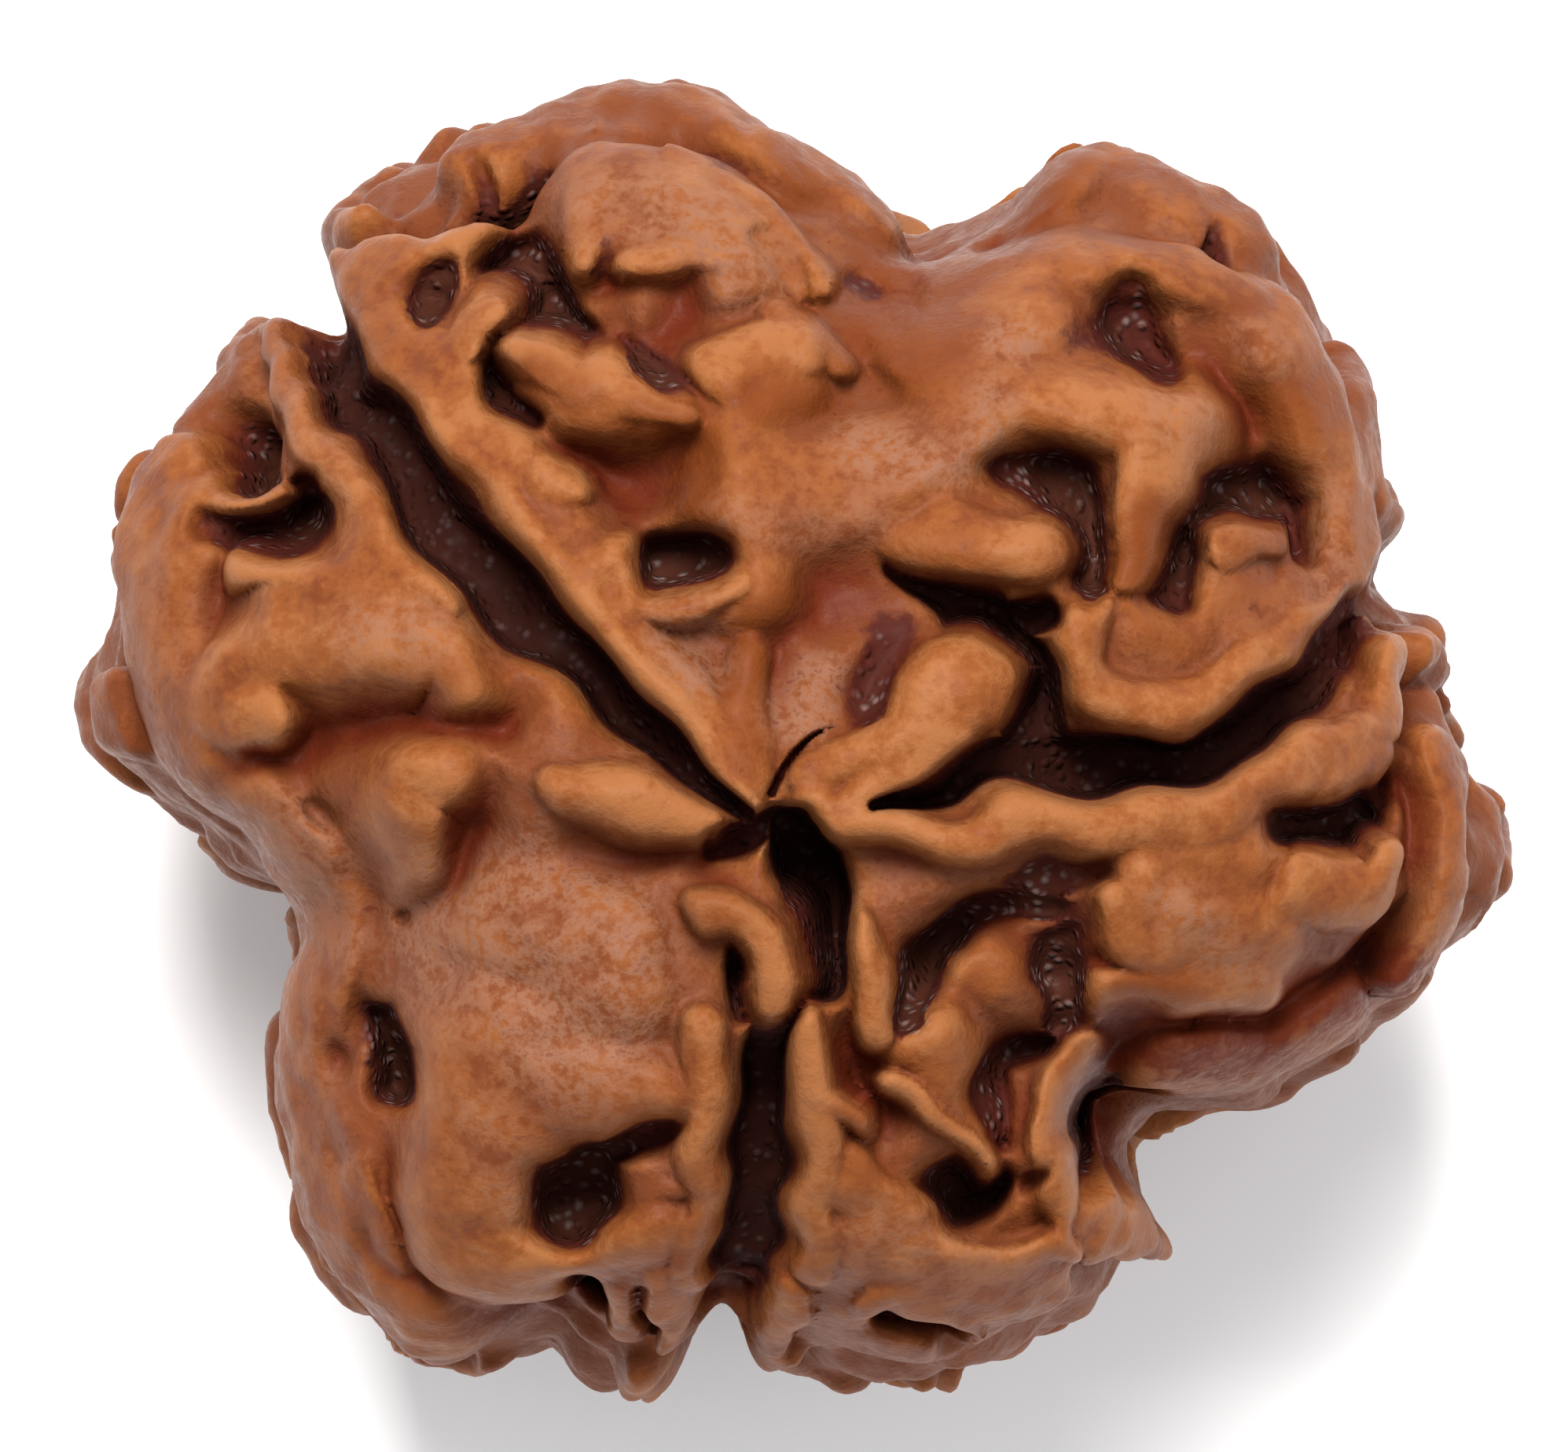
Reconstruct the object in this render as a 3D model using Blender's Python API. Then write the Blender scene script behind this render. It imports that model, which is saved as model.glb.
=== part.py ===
"""A three mukhi rudraksha bead: the woody stone of one fruit, grown as a single piece.

Three deep clefts run from pole to pole and part it into three lobes. The lobes carry smooth
raised ridges, knobs and fins, with steep pits and hollows between them. The bead lies on one
pole, on a small flat spot, and is modelled in metres with +Z up.
"""
import math

import bmesh
import bpy
import numpy as np

# Driving sizes in millimetres. The plan of the bead is read as x to the right and y up, with
# zero where the three clefts meet at the upper pole.
HALF_HEIGHT = 9.9            # from the middle of the bead to a pole, before any relief
SQUARENESS = 2.3             # 2 gives an ellipsoid, more gives fuller shoulders
CROWN = 10.4                 # typical distance from the bead's middle to its surface
GROUND_LEVEL = -0.5          # the plain surface, measured from the outer envelope of the ridges
FOOT = 9.62                  # from the middle of the bead down to the flat spot
SPHERE_LEVEL = 7             # icosphere subdivisions before the relief is cut
SOLID_TRIANGLES = 11400      # the faceted solid's budget
CUT_GRIP = 0.00001           # metres; corners this close to the flat are laid in it
MM = 0.001

# The bead's outline from above, anticlockwise from the upper left.
OUTLINE = [
    (-5.0, 10.45), (-6.0, 10.0), (-6.5, 9.4), (-6.95, 8.9), (-7.0, 8.5), (-6.96, 7.88),
    (-7.2, 7.85), (-7.6, 7.97), (-8.05, 7.45), (-8.6, 6.65), (-9.4, 6.0), (-9.9, 5.25),
    (-10.3, 4.4), (-10.5, 3.7), (-10.4, 2.8), (-10.7, 1.7), (-10.45, 0.9), (-10.1, 0.5),
    (-9.6, 0.5), (-9.0, -0.1), (-8.5, -0.85), (-7.7, -1.15), (-7.35, -1.45), (-7.55, -2.2),
    (-7.75, -3.0), (-7.75, -4.4), (-7.45, -5.2), (-7.4, -6.2), (-6.9, -7.0), (-6.3, -7.7),
    (-5.6, -8.4), (-4.5, -8.6), (-4.0, -8.3), (-3.4, -8.15), (-3.15, -8.6), (-2.8, -8.9),
    (-2.1, -8.97), (-1.5, -8.6), (-1.2, -7.8), (-0.8, -7.25), (-0.6, -7.8), (-0.35, -8.4),
    (0.2, -8.3), (0.9, -8.75), (2.2, -9.0), (3.4, -8.55), (4.3, -7.85), (5.05, -7.75),
    (5.4, -7.0), (6.23, -6.48), (5.9, -6.1), (5.65, -5.6), (6.1, -4.7), (6.95, -4.4),
    (7.5, -4.7), (8.2, -4.1), (9.15, -3.5), (9.9, -2.85), (10.7, -1.85), (11.15, -1.1),
    (11.3, -0.3), (10.9, 0.6), (10.2, 1.8), (10.15, 3.05), (9.6, 3.95), (9.5, 4.6),
    (9.25, 5.6), (9.15, 6.45), (8.5, 7.5), (8.25, 8.35), (7.5, 9.2), (6.5, 9.75),
    (5.4, 10.2), (4.5, 10.35), (3.85, 9.75), (3.0, 9.4), (2.1, 9.17), (1.3, 9.95),
    (0.45, 10.4), (-0.3, 10.8), (-1.1, 11.28), (-2.5, 11.25), (-3.75, 10.8),
]

# Where the clefts cross the widest part of the bead, in degrees anticlockwise from x.
CLEFT_A, CLEFT_C, CLEFT_B = 131.5, 263.7, 381.0

# A stroke is (half width, height, points). Several widths or heights are spread evenly along it.
# Heights of ridges are levels from the outer envelope; those of clefts, hollows and pits are depths.
CLEFTS = [
    # A, to the upper left
    ((0.50, 0.46, 0.52, 0.50, 0.42, 0.24, 0.14), (0.5, 1.8, 2.3, 2.3, 2.1, 1.8, 1.6),
     [(-7.05, 7.9), (-6.7, 7.0), (-6.0, 6.05), (-5.5, 5.3), (-4.95, 4.5), (-4.2, 3.65), (-3.3, 2.7), (-2.4, 1.8), (-1.4, 0.85),
      (-0.4, 0.1)]),
    # B, to the right
    ((0.08, 0.20, 0.34, 0.44), (1.4, 2.0, 2.4), [(1.45, 0.15), (2.5, 0.55), (3.5, 0.85), (4.2, 0.9)]),
    ((0.44, 0.38, 0.44, 0.44, 0.5), (2.4, 2.4, 2.2, 1.4, 0.6), [(4.2, 0.9), (5.0, 0.8), (6.2, 0.82), (6.9, 1.25),
                                                                 (7.7, 1.75), (8.3, 2.3), (8.9, 2.95), (9.45, 3.5)]),
    # the slot that branches upwards from B
    ((0.44, 0.46, 0.40, 0.22), (2.2, 2.0, 1.1), [(4.0, 1.2), (3.7, 2.2), (3.3, 2.85), (2.75, 3.2), (1.95, 3.8)]),
    ((0.34, 0.22), (1.9, 1.4), [(3.3, 2.9), (3.7, 3.0), (4.05, 3.15)]),
    # C, downwards
    ((0.26, 0.34, 0.38, 0.46, 0.5), (2.0, 2.4, 2.4, 1.9, 0.6), [(0.1, -2.75), (-0.15, -3.4), (-0.2, -4.2), (-0.25, -5.2),
                                                       (-0.35, -6.2), (-0.75, -7.6)]),
    # the natural hole between them
    ((0.30, 0.44, 0.42, 0.34), (2.6, 3.2, 2.8), [(0.25, 0.0), (0.55, -0.8), (0.65, -1.5), (0.62, -2.35)]),
    ((0.26, 0.30, 0.22), (1.8, 1.2, 0.8), [(0.1, 0.05), (-0.4, -0.25), (-0.85, -0.35)]),
    ((0.06, 0.05, 0.03), (0.8, 0.6, 0.3), [(-0.05, 0.5), (0.12, 0.95), (0.4, 1.25), (0.8, 1.42)]),
]

# Wide soft hollows and valleys.
HOLLOWS = [
    # upper lobe
    ((0.95, 0.75), (0.8, 0.8), [(-2.3, 5.4), (-1.9, 4.7)]),
    (0.5, (0.6, 0.8), [(-2.5, 8.9), (-2.5, 7.9)]),
    (0.6, 0.9, [(-1.2, 8.1), (-1.6, 7.2)]),
    (0.5, 0.7, [(-2.4, 7.3), (-1.4, 6.8)]),
    (0.45, (0.7, 0.5), [(-1.4, 10.25), (-0.5, 9.75)]),
    (0.5, (0.7, 0.9), [(-5.9, 8.9), (-5.0, 9.2), (-4.0, 9.6)]),
    ((0.8, 1.0, 1.2), (0.2, 0.4, 0.3), [(1.5, 6.8), (1.9, 8.0), (2.3, 9.4)]),
    ((0.7, 0.6), (0.6, 0.5), [(5.6, 7.0), (5.3, 7.9)]),
    ((0.4, 0.32, 0.5), (0.7, 0.9, 1.0), [(6.5, 7.0), (6.95, 6.4), (7.1, 5.8)]),
    (0.55, 0.3, [(3.6, 5.8), (4.6, 5.8)]),
    (0.6, 0.6, [(6.6, 5.3), (7.9, 5.4)]),
    ((0.6, 0.55), (0.6, 0.75), [(1.75, 2.75), (1.45, 1.85)]),
    (0.7, (0.5, 0.8, 0.8), [(-0.3, 2.3), (0.5, 3.1), (1.7, 3.35)]),
    (0.5, 0.35, [(6.3, 3.6), (7.4, 3.5)]),
    (0.4, 0.4, [(-0.1, 6.3), (0.4, 6.35)]),
    (0.35, 0.35, [(3.5, 6.8), (3.8, 6.8)]),
    (0.45, 0.5, [(4.3, 7.4), (4.9, 7.3)]),
    (0.4, (0.5, 0.6), [(3.4, 8.9), (4.4, 9.5)]),
    (0.4, 0.5, [(8.0, 4.5), (8.2, 4.1)]),
    # left lobe
    (0.5, (1.0, 0.8), [(-7.8, 0.95), (-6.9, 1.1), (-6.2, 1.5)]),
    (0.45, 0.9, [(-6.2, 1.5), (-5.2, 1.55), (-4.2, 1.35)]),
    (0.6, 0.8, [(-8.5, 4.4), (-7.2, 4.5)]),
    (0.45, (0.6, 0.5), [(-8.35, 3.7), (-8.2, 2.7)]),
    ((0.8, 1.0, 1.2), (0.1, 0.3, 0.4), [(-4.9, -1.7), (-6.3, -1.6), (-7.6, -1.5)]),
    ((0.5, 0.6, 0.5), (0.9, 1.2, 0.8), [(-4.75, 0.6), (-4.7, 0.1), (-4.9, -0.6)]),
    (0.5, 0.7, [(-0.9, -0.5), (-0.5, -0.6)]),
    (0.4, (0.4, 0.6), [(-2.9, -0.45), (-1.3, -0.35)]),
    (0.5, 0.6, [(-6.3, -3.0), (-6.8, -3.5)]),
    (0.35, (0.3, 0.7, 0.9), [(-5.9, -4.7), (-5.9, -5.7), (-5.8, -6.7), (-5.2, -7.6), (-4.3, -7.9)]),
    (0.55, 1.1, [(-4.2, -8.0), (-3.0, -7.6)]),
    # lower right lobe
    ((0.45, 0.55), (0.7, 1.1), [(1.3, -3.1), (1.3, -4.1)]),
    ((0.9, 1.0), (1.0, 1.1), [(2.5, -2.0), (3.3, -1.8), (4.1, -2.2)]),
    (0.6, 0.9, [(4.2, -1.6), (4.3, -3.1)]),
    ((0.5, 0.7, 0.6), (0.4, 0.9, 0.8), [(2.9, -3.3), (3.7, -3.3), (3.5, -4.4)]),
    (0.6, 0.4, [(1.5, -0.7), (2.8, -0.7)]),
    ((0.6, 0.7), (1.4, 1.5), [(7.7, -3.1), (9.4, -2.3)]),
    ((0.6, 0.8), (1.3, 1.4), [(5.2, -3.5), (7.6, -3.3)]),
    ((0.6, 0.8), (1.0, 1.3), [(4.9, -4.6), (5.5, -5.0)]),
    (0.45, 0.9, [(4.9, -6.1), (5.0, -7.0)]),
    (0.5, 0.8, [(9.9, 2.5), (9.6, 1.7)]),
    (0.45, 0.9, [(9.95, -0.5), (9.7, 0.5)]),
]

# Steep pits.
PITS = [
    # upper lobe
    ((0.16, 0.26, 0.24), (0.5, 0.9, 0.7), [(-5.9, 8.85), (-5.3, 9.05), (-4.7, 9.2)]),
    ((0.30, 0.28, 0.18), (0.9, 0.8, 0.5), [(-4.6, 9.35), (-4.1, 9.45), (-3.5, 9.9)]),
    (0.18, 0.5, [(-4.6, 9.4), (-4.5, 9.9)]),
    ((0.32, 0.20), (0.7, 0.8), [(-4.95, 8.15), (-5.25, 7.55)]),
    ((0.50, 0.46, 0.34), (1.5, 2.2, 2.2), [(-3.85, 8.45), (-3.6, 8.0), (-3.35, 7.6), (-3.05, 7.15)]),
    ((0.24, 0.22, 0.16), (1.7, 1.6, 1.0), [(-4.25, 7.35), (-4.1, 6.8), (-3.95, 6.3), (-3.65, 6.0)]),
    (0.26, 0.7, [(-2.3, 6.95), (-1.7, 6.65)]),
    ((0.18, 0.24, 0.16), (0.3, 0.45, 0.4), [(-0.2, 8.75), (0.05, 8.35), (0.3, 7.8)]),
    (0.36, 1.7, [(-1.6, 3.85), (-1.1, 3.9)]),
    ((0.40, 0.60, 0.40), (0.2, 0.4, 0.3), [(-2.8, 5.4), (-2.0, 5.2), (-1.3, 5.3)]),
    ((0.34, 0.52, 0.44), (0.8, 1.1, 0.9), [(5.35, 7.95), (5.5, 7.3), (5.8, 6.85)]),
    ((0.36, 0.52), (1.0, 1.5), [(3.6, 5.15), (4.3, 5.05)]),
    ((0.52, 0.40, 0.32), (1.6, 1.8, 1.6), [(4.3, 5.05), (4.65, 4.4), (4.75, 3.65)]),
    ((0.46, 0.50), (1.8, 1.7), [(6.8, 4.95), (7.6, 4.95)]),
    ((0.36, 0.30, 0.30), (1.8, 1.7, 1.4), [(6.5, 4.8), (6.2, 4.2), (5.95, 3.7), (5.85, 3.4)]),
    (0.26, (1.3, 0.8), [(8.0, 4.8), (8.05, 4.2)]),
    ((0.16, 0.24), 0.6, [(6.75, 8.8), (6.9, 8.5)]),
    (0.24, 0.25, [(1.2, 8.2), (1.45, 8.05)]),
    (0.14, 0.15, [(0.5, 8.8), (0.55, 8.7)]),
    (0.16, 0.15, [(1.5, 6.75), (1.75, 6.5)]),
    # left lobe
    ((0.34, 0.42, 0.36), (1.5, 2.0, 1.6), [(-8.35, 6.1), (-8.1, 5.7), (-7.9, 5.25)]),
    ((0.26, 0.30, 0.36), (0.5, 0.8, 1.6), [(-8.6, 4.35), (-7.7, 4.3), (-6.95, 4.5)]),
    (0.20, (1.0, 0.7), [(-6.95, 4.7), (-7.1, 5.1)]),
    (0.20, 0.25, [(-6.85, 0.2), (-6.65, 0.1)]),
    (0.14, 0.3, [(-5.5, -1.5), (-5.45, -1.45)]),
    ((0.26, 0.40, 0.36), (1.0, 1.8, 2.0), [(-5.9, -3.0), (-5.75, -3.5), (-5.7, -4.0)]),
    ((0.44, 0.54, 0.46), (2.0, 2.2, 2.0), [(-2.75, -5.15), (-2.95, -5.5), (-3.1, -5.85)]),
    ((0.30, 0.24), (1.7, 1.0), [(-2.6, -5.0), (-2.0, -4.8), (-1.6, -4.8)]),
    (0.17, 1.4, [(-0.5, -2.0), (-0.45, -2.8)]),
    ((0.28, 0.34), 1.5, [(-2.9, -7.2), (-2.85, -7.6)]),
    (0.13, 0.6, [(-1.95, -7.1), (-1.98, -8.0)]),
    # lower right lobe
    ((0.16, 0.28, 0.30, 0.26, 0.2), (0.6, 1.3, 1.6, 0.9, 0.5), [(2.05, -3.0), (2.1, -2.4), (2.3, -1.9), (2.9, -1.5), (3.6, -1.25),
                                                             (4.1, -1.2)]),
    ((0.20, 0.24, 0.20), (0.4, 0.4, 0.3), [(3.6, -1.0), (4.2, -0.8), (4.8, -0.6)]),
    ((0.26, 0.30, 0.22), (0.5, 0.8, 0.5), [(4.25, -1.8), (4.3, -2.4), (4.25, -2.9)]),
    ((0.26, 0.30, 0.30, 0.22), (0.9, 1.3, 0.9), [(4.0, -3.4), (3.45, -3.6), (3.3, -4.1), (3.35, -4.7)]),
    ((0.36, 0.38, 0.30), (2.2, 2.2, 1.8), [(7.85, -0.1), (8.5, 0.0), (9.0, 0.2)]),
    (0.22, (1.6, 0.9), [(9.0, 0.2), (9.35, 0.5)]),
    ((0.46, 0.58, 0.40), (2.2, 2.3, 1.6), [(4.85, -4.5), (5.1, -4.8), (5.0, -5.4)]),
    ((0.42, 0.32), (1.8, 1.2), [(5.2, -4.4), (5.8, -4.5)]),
    ((0.40, 0.44, 0.40), (2.2, 2.2, 2.0), [(2.65, -5.5), (2.95, -5.6), (3.2, -5.55)]),
    (0.17, 0.6, [(3.75, -5.5), (3.85, -5.5)]),
    (0.20, 1.1, [(4.75, -6.2), (4.8, -7.0)]),
    (0.24, (1.2, 1.0), [(1.8, -7.65), (2.3, -7.8), (2.8, -8.1)]),
    (0.16, 0.5, [(10.6, -1.1), (10.65, -1.2)]),
]

# Raised ridges, knobs and the crests of broad masses.
RIDGES = [
    # upper lobe: the bank along cleft A and its beak at the pole
    ((0.80, 0.75, 0.60, 0.45), (0.15, 0.05, 0.1), [(-6.2, 8.0), (-5.3, 6.9), (-4.6, 5.8), (-3.8, 4.8), (-3.0, 3.8),
                                                    (-2.1, 2.7), (-1.2, 1.5), (-0.6, 0.8)]),
    ((0.40, 0.34, 0.30, 0.18), (0.2, 0.3, 0.25), [(-6.5, 8.2), (-6.0, 7.0), (-5.2, 6.0), (-4.4, 5.0), (-3.7, 4.2),
                                                   (-2.9, 3.3), (-2.1, 2.4), (-1.3, 1.4), (-0.6, 0.55),
                                                   (-0.35, 0.25)]),
    ((0.50, 0.30), (-0.3, 0.1), [(-0.5, 2.2), (-0.4, 1.3), (-0.4, 0.6)]),
    (0.32, (0.2, 0.1), [(-3.5, 5.1), (-3.1, 5.0)]),
    ((0.34, 0.30, 0.24), (0.2, 0.15, 0.1), [(-2.75, 3.75), (-2.3, 3.9), (-2.1, 3.5), (-2.1, 3.2)]),
    (0.30, (0.1, 0.15), [(-1.9, 3.3), (-1.3, 3.25), (-0.7, 3.5)]),
    # knobs beside the deep upper pits
    ((0.60, 0.50), (0.15, 0.0), [(-5.0, 8.5), (-6.0, 8.3)]),
    (0.45, (0.1, 0.2), [(-4.6, 8.75), (-5.4, 8.5), (-6.0, 8.3)]),
    (0.14, (0.1, 0.1, 0.0), [(-1.6, 10.05), (-0.9, 9.75), (-0.3, 9.45), (0.05, 9.0), (0.35, 8.5), (0.7, 8.1)]),
    (0.56, (0.2, 0.1), [(-3.0, 6.4), (-2.4, 6.35), (-1.8, 6.15)]),
    # the big hump
    ((1.00, 0.80), (0.1, 0.0), [(-2.4, 9.3), (-1.3, 9.1), (-0.5, 8.5)]),
    ((0.30, 0.56, 0.56, 0.34), (0.0, 0.2, 0.2, 0.05), [(-2.95, 8.4), (-2.8, 9.3), (-2.4, 9.85), (-1.7, 9.6),
                                                        (-0.8, 9.2), (-0.1, 8.7), (0.3, 8.2)]),
    ((0.34, 0.34), (0.1, 0.1), [(-2.0, 8.3), (-1.4, 8.55), (-0.7, 8.55)]),
    (0.45, (0.1, 0.2), [(-0.8, 6.7), (-0.1, 7.0), (0.35, 7.05)]),
    (0.30, -0.1, [(0.1, 7.6), (0.5, 7.3), (0.9, 6.9)]),
    (0.60, 0.0, [(-4.6, 10.2), (-2.9, 10.95), (-1.2, 10.9), (0.0, 10.2)]),
    # the rim round the right sub-lobe
    ((0.50, 0.56, 0.60), (-0.5, -0.1, 0.15), [(2.6, 7.9), (3.3, 8.1), (4.3, 8.4), (5.3, 8.4), (6.4, 8.2),
                                               (7.3, 7.8), (7.8, 7.2)]),
    ((0.65, 0.55), (0.25, 0.05), [(7.7, 7.2), (8.25, 6.3), (8.6, 5.4), (8.9, 4.2), (8.9, 3.7)]),
    (0.70, 0.05, [(4.4, 9.8), (5.2, 9.95), (6.3, 9.5), (7.2, 9.0)]),
    (0.60, 0.0, [(0.2, 10.1), (0.9, 9.9), (1.5, 9.4)]),
    (0.50, 0.0, [(8.9, 7.1), (9.0, 6.2), (9.2, 5.2)]),
    (0.90, -0.1, [(2.4, 6.9), (3.8, 7.5)]),
    # the T shaped ridge
    ((0.60, 0.62, 0.50), (0.0, 0.25, 0.35), [(3.8, 6.4), (4.8, 6.15), (5.6, 5.98), (6.2, 5.95)]),
    # the plateau
    (1.00, -0.05, [(-0.2, 4.8), (1.0, 5.0), (2.4, 5.4), (3.0, 6.2)]),
    (0.80, (-0.1, 0.0), [(-0.4, 3.4), (-0.5, 5.8), (0.0, 6.4)]),
    # the thin edges of the bone shaped ridge
    ((0.24, 0.24, 0.26), (0.1, 0.15, 0.2), [(0.45, 0.35), (0.9, 0.15), (1.5, 0.45), (2.1, 0.85), (2.7, 1.25)]),
    ((0.30, 0.42, 0.50), (0.0, 0.1, 0.2), [(0.45, 0.75), (1.2, 0.9), (2.0, 1.2)]),
    (0.56, -0.15, [(0.75, 0.5), (1.4, 0.7), (2.1, 1.2)]),
    # the curl ridge above cleft B
    ((0.38, 0.46, 0.46, 0.42, 0.34), (0.4, 0.25, 0.2), [(4.75, 3.15), (4.5, 2.6), (4.5, 2.2), (4.85, 1.85),
                                                         (5.4, 1.7), (6.1, 1.72), (6.9, 2.02), (7.5, 2.45),
                                                         (8.1, 2.85), (8.8, 3.4)]),
    (0.50, -0.15, [(6.9, 2.7), (7.7, 3.2), (8.4, 3.8)]),
    (0.90, -0.2, [(5.7, 2.9), (6.8, 3.3)]),
    # left lobe: the rim along cleft A and the ridges behind it
    ((0.30, 0.34), 0.15, [(-7.5, 7.4), (-7.3, 6.4), (-6.9, 5.7), (-6.5, 5.1), (-6.3, 4.5), (-6.2, 3.9)]),
    (0.30, (0.1, 0.2), [(-6.8, 5.5), (-6.2, 4.9), (-5.9, 4.3), (-5.5, 3.8), (-4.9, 3.3)]),
    ((0.60, 0.75, 0.65, 0.40), (0.1, 0.3, 0.35), [(-8.0, 2.3), (-7.2, 2.6), (-6.2, 2.75), (-5.4, 2.6), (-4.9, 2.5),
                                                   (-4.6, 2.05)]),
    (0.60, (0.1, 0.15), [(-7.3, 3.4), (-6.2, 3.5), (-5.5, 3.4)]),
    (0.52, 0.2, [(-8.3, 2.2), (-8.3, 1.7), (-7.6, 1.6)]),
    (0.28, (0.25, 0.15), [(-7.9, 3.8), (-7.4, 3.85), (-6.8, 3.7), (-6.2, 3.6)]),
    (0.28, (0.0, -0.1), [(-8.2, 4.8), (-7.5, 4.85)]),
    ((1.00, 0.80), (0.05, 0.0), [(-9.0, 4.6), (-9.4, 3.2), (-9.0, 1.8), (-8.6, 0.8)]),
    (0.40, (0.15, 0.05), [(-9.0, 5.6), (-9.5, 4.8), (-9.8, 3.8)]),
    (0.55, 0.0, [(-8.8, 6.2), (-8.2, 7.0), (-7.7, 7.6)]),
    (0.45, 0.0, [(-10.1, 1.9), (-10.0, 1.2)]),
    (0.60, (-0.2, -0.3), [(-7.8, 0.2), (-7.0, -0.7)]),
    # hooded knob and its neighbour
    ((0.36, 0.56, 0.44), (0.1, 0.35, 0.25), [(-5.5, -0.7), (-5.5, 0.05), (-5.4, 0.55), (-4.95, 0.75)]),
    ((0.50, 0.50, 0.40, 0.22), (0.3, 0.35, 0.1), [(-3.1, 0.45), (-2.6, 0.45), (-2.0, 0.3), (-1.5, 0.1),
                                                   (-1.0, -0.05)]),
    (1.0, -0.05, [(-4.2, -1.6), (-3.0, -1.6), (-2.4, -2.6)]),
    # left lobe, lower half
    ((0.30, 0.28), (0.15, 0.2, 0.1), [(-1.05, -2.95), (-1.05, -4.0), (-1.0, -5.0), (-1.05, -5.8), (-1.15, -6.4),
                                       (-1.2, -7.0)]),
    (0.70, (0.05, 0.15), [(-3.2, -3.9), (-2.4, -4.1), (-1.8, -4.2)]),
    ((1.00, 0.90), (0.05, 0.1), [(-4.3, -3.2), (-4.3, -4.6), (-4.4, -5.8)]),
    ((0.40, 0.60, 0.60, 0.40), (0.0, 0.15, 0.15, 0.1), [(-4.85, -3.2), (-4.85, -4.2), (-4.95, -5.0), (-5.0, -5.8),
                                                         (-4.9, -6.4), (-4.4, -6.75), (-3.8, -6.65), (-3.1, -6.35),
                                                         (-2.4, -6.2), (-1.7, -6.25)]),
    (0.20, -0.25, [(-6.4, -5.3), (-6.1, -6.0), (-5.75, -6.8)]),
    (0.90, 0.0, [(-7.2, -0.8), (-6.9, -1.7), (-7.1, -2.7)]),
    (0.70, 0.0, [(-7.2, -2.4), (-7.35, -3.4), (-7.3, -4.6), (-7.0, -5.8), (-6.3, -7.0), (-5.2, -8.0)]),
    (0.30, -0.5, [(-2.3, -7.1), (-2.35, -8.0)]),
    (0.36, -0.1, [(-1.6, -6.9), (-1.6, -7.9)]),
    # lower right lobe: the rim along cleft B
    ((0.26, 0.40, 0.42, 0.38), (0.15, 0.25, 0.2), [(0.9, -0.1), (1.8, -0.15), (2.7, -0.25), (3.6, -0.05),
                                                    (4.5, 0.02), (5.3, 0.05), (6.2, 0.02), (7.0, 0.3), (7.6, 0.75),
                                                    (8.2, 1.1), (8.8, 1.3)]),
    (0.60, 0.0, [(5.6, -0.5), (6.6, -0.5), (7.2, -0.4)]),
    (0.42, 0.1, [(8.0, 0.8), (8.9, 0.9)]),
    (0.28, (0.15, 0.1), [(9.3, 3.0), (9.3, 2.2), (9.1, 1.3)]),
    ((0.90, 0.95), (0.15, 0.1), [(5.7, -1.35), (6.4, -1.6), (7.2, -1.6)]),
    (0.30, (0.2, 0.1), [(5.0, -1.2), (5.2, -1.8), (5.9, -2.0)]),
    (0.34, 0.0, [(4.9, -2.5), (5.7, -2.45), (6.6, -2.5), (7.4, -2.4)]),
    (0.36, (0.05, 0.0), [(10.1, 1.2), (10.3, 0.3), (10.3, -0.7), (10.1, -1.6), (9.6, -2.4)]),
    (0.80, -0.25, [(6.2, -3.9), (7.6, -3.8), (8.8, -3.2)]),
    # beside the hole and cleft C
    ((0.24, 0.28, 0.24), (0.1, 0.15, 0.1), [(1.25, -1.5), (1.35, -2.1), (1.5, -2.7), (1.65, -3.1)]),
    (0.62, (-0.85, -0.7), [(2.9, -2.3), (3.4, -2.45)]),
    (0.56, (-0.15, -0.4), [(2.3, -3.4), (2.7, -4.0), (3.0, -4.5)]),
    ((0.26, 0.32), (0.25, 0.15), [(0.35, -3.1), (0.55, -3.7), (0.6, -4.6), (0.6, -5.6), (0.65, -6.6)]),
    ((0.24, 0.16), (0.2, 0.1), [(0.7, -4.2), (1.2, -4.6)]),
    ((0.22, 0.30, 0.30), (-0.5, -0.1, 0.1), [(4.6, -3.4), (4.2, -4.2), (4.15, -5.2), (4.35, -5.9), (4.6, -6.5)]),
    (0.50, 0.0, [(1.1, -5.4), (1.9, -6.0), (2.2, -6.8)]),
    (0.30, (0.1, 0.25), [(2.3, -6.3), (2.9, -6.6), (3.5, -6.7), (4.1, -6.5), (4.6, -6.4)]),
    (0.80, 0.05, [(1.4, -6.4), (2.8, -7.0), (4.0, -7.1)]),
    (0.30, (0.0, 0.0), [(1.4, -7.3), (2.0, -7.25), (2.5, -7.55), (2.9, -7.9)]),
    (0.32, 0.05, [(0.3, -7.1), (0.0, -7.8), (-0.2, -8.2)]),
]

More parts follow.
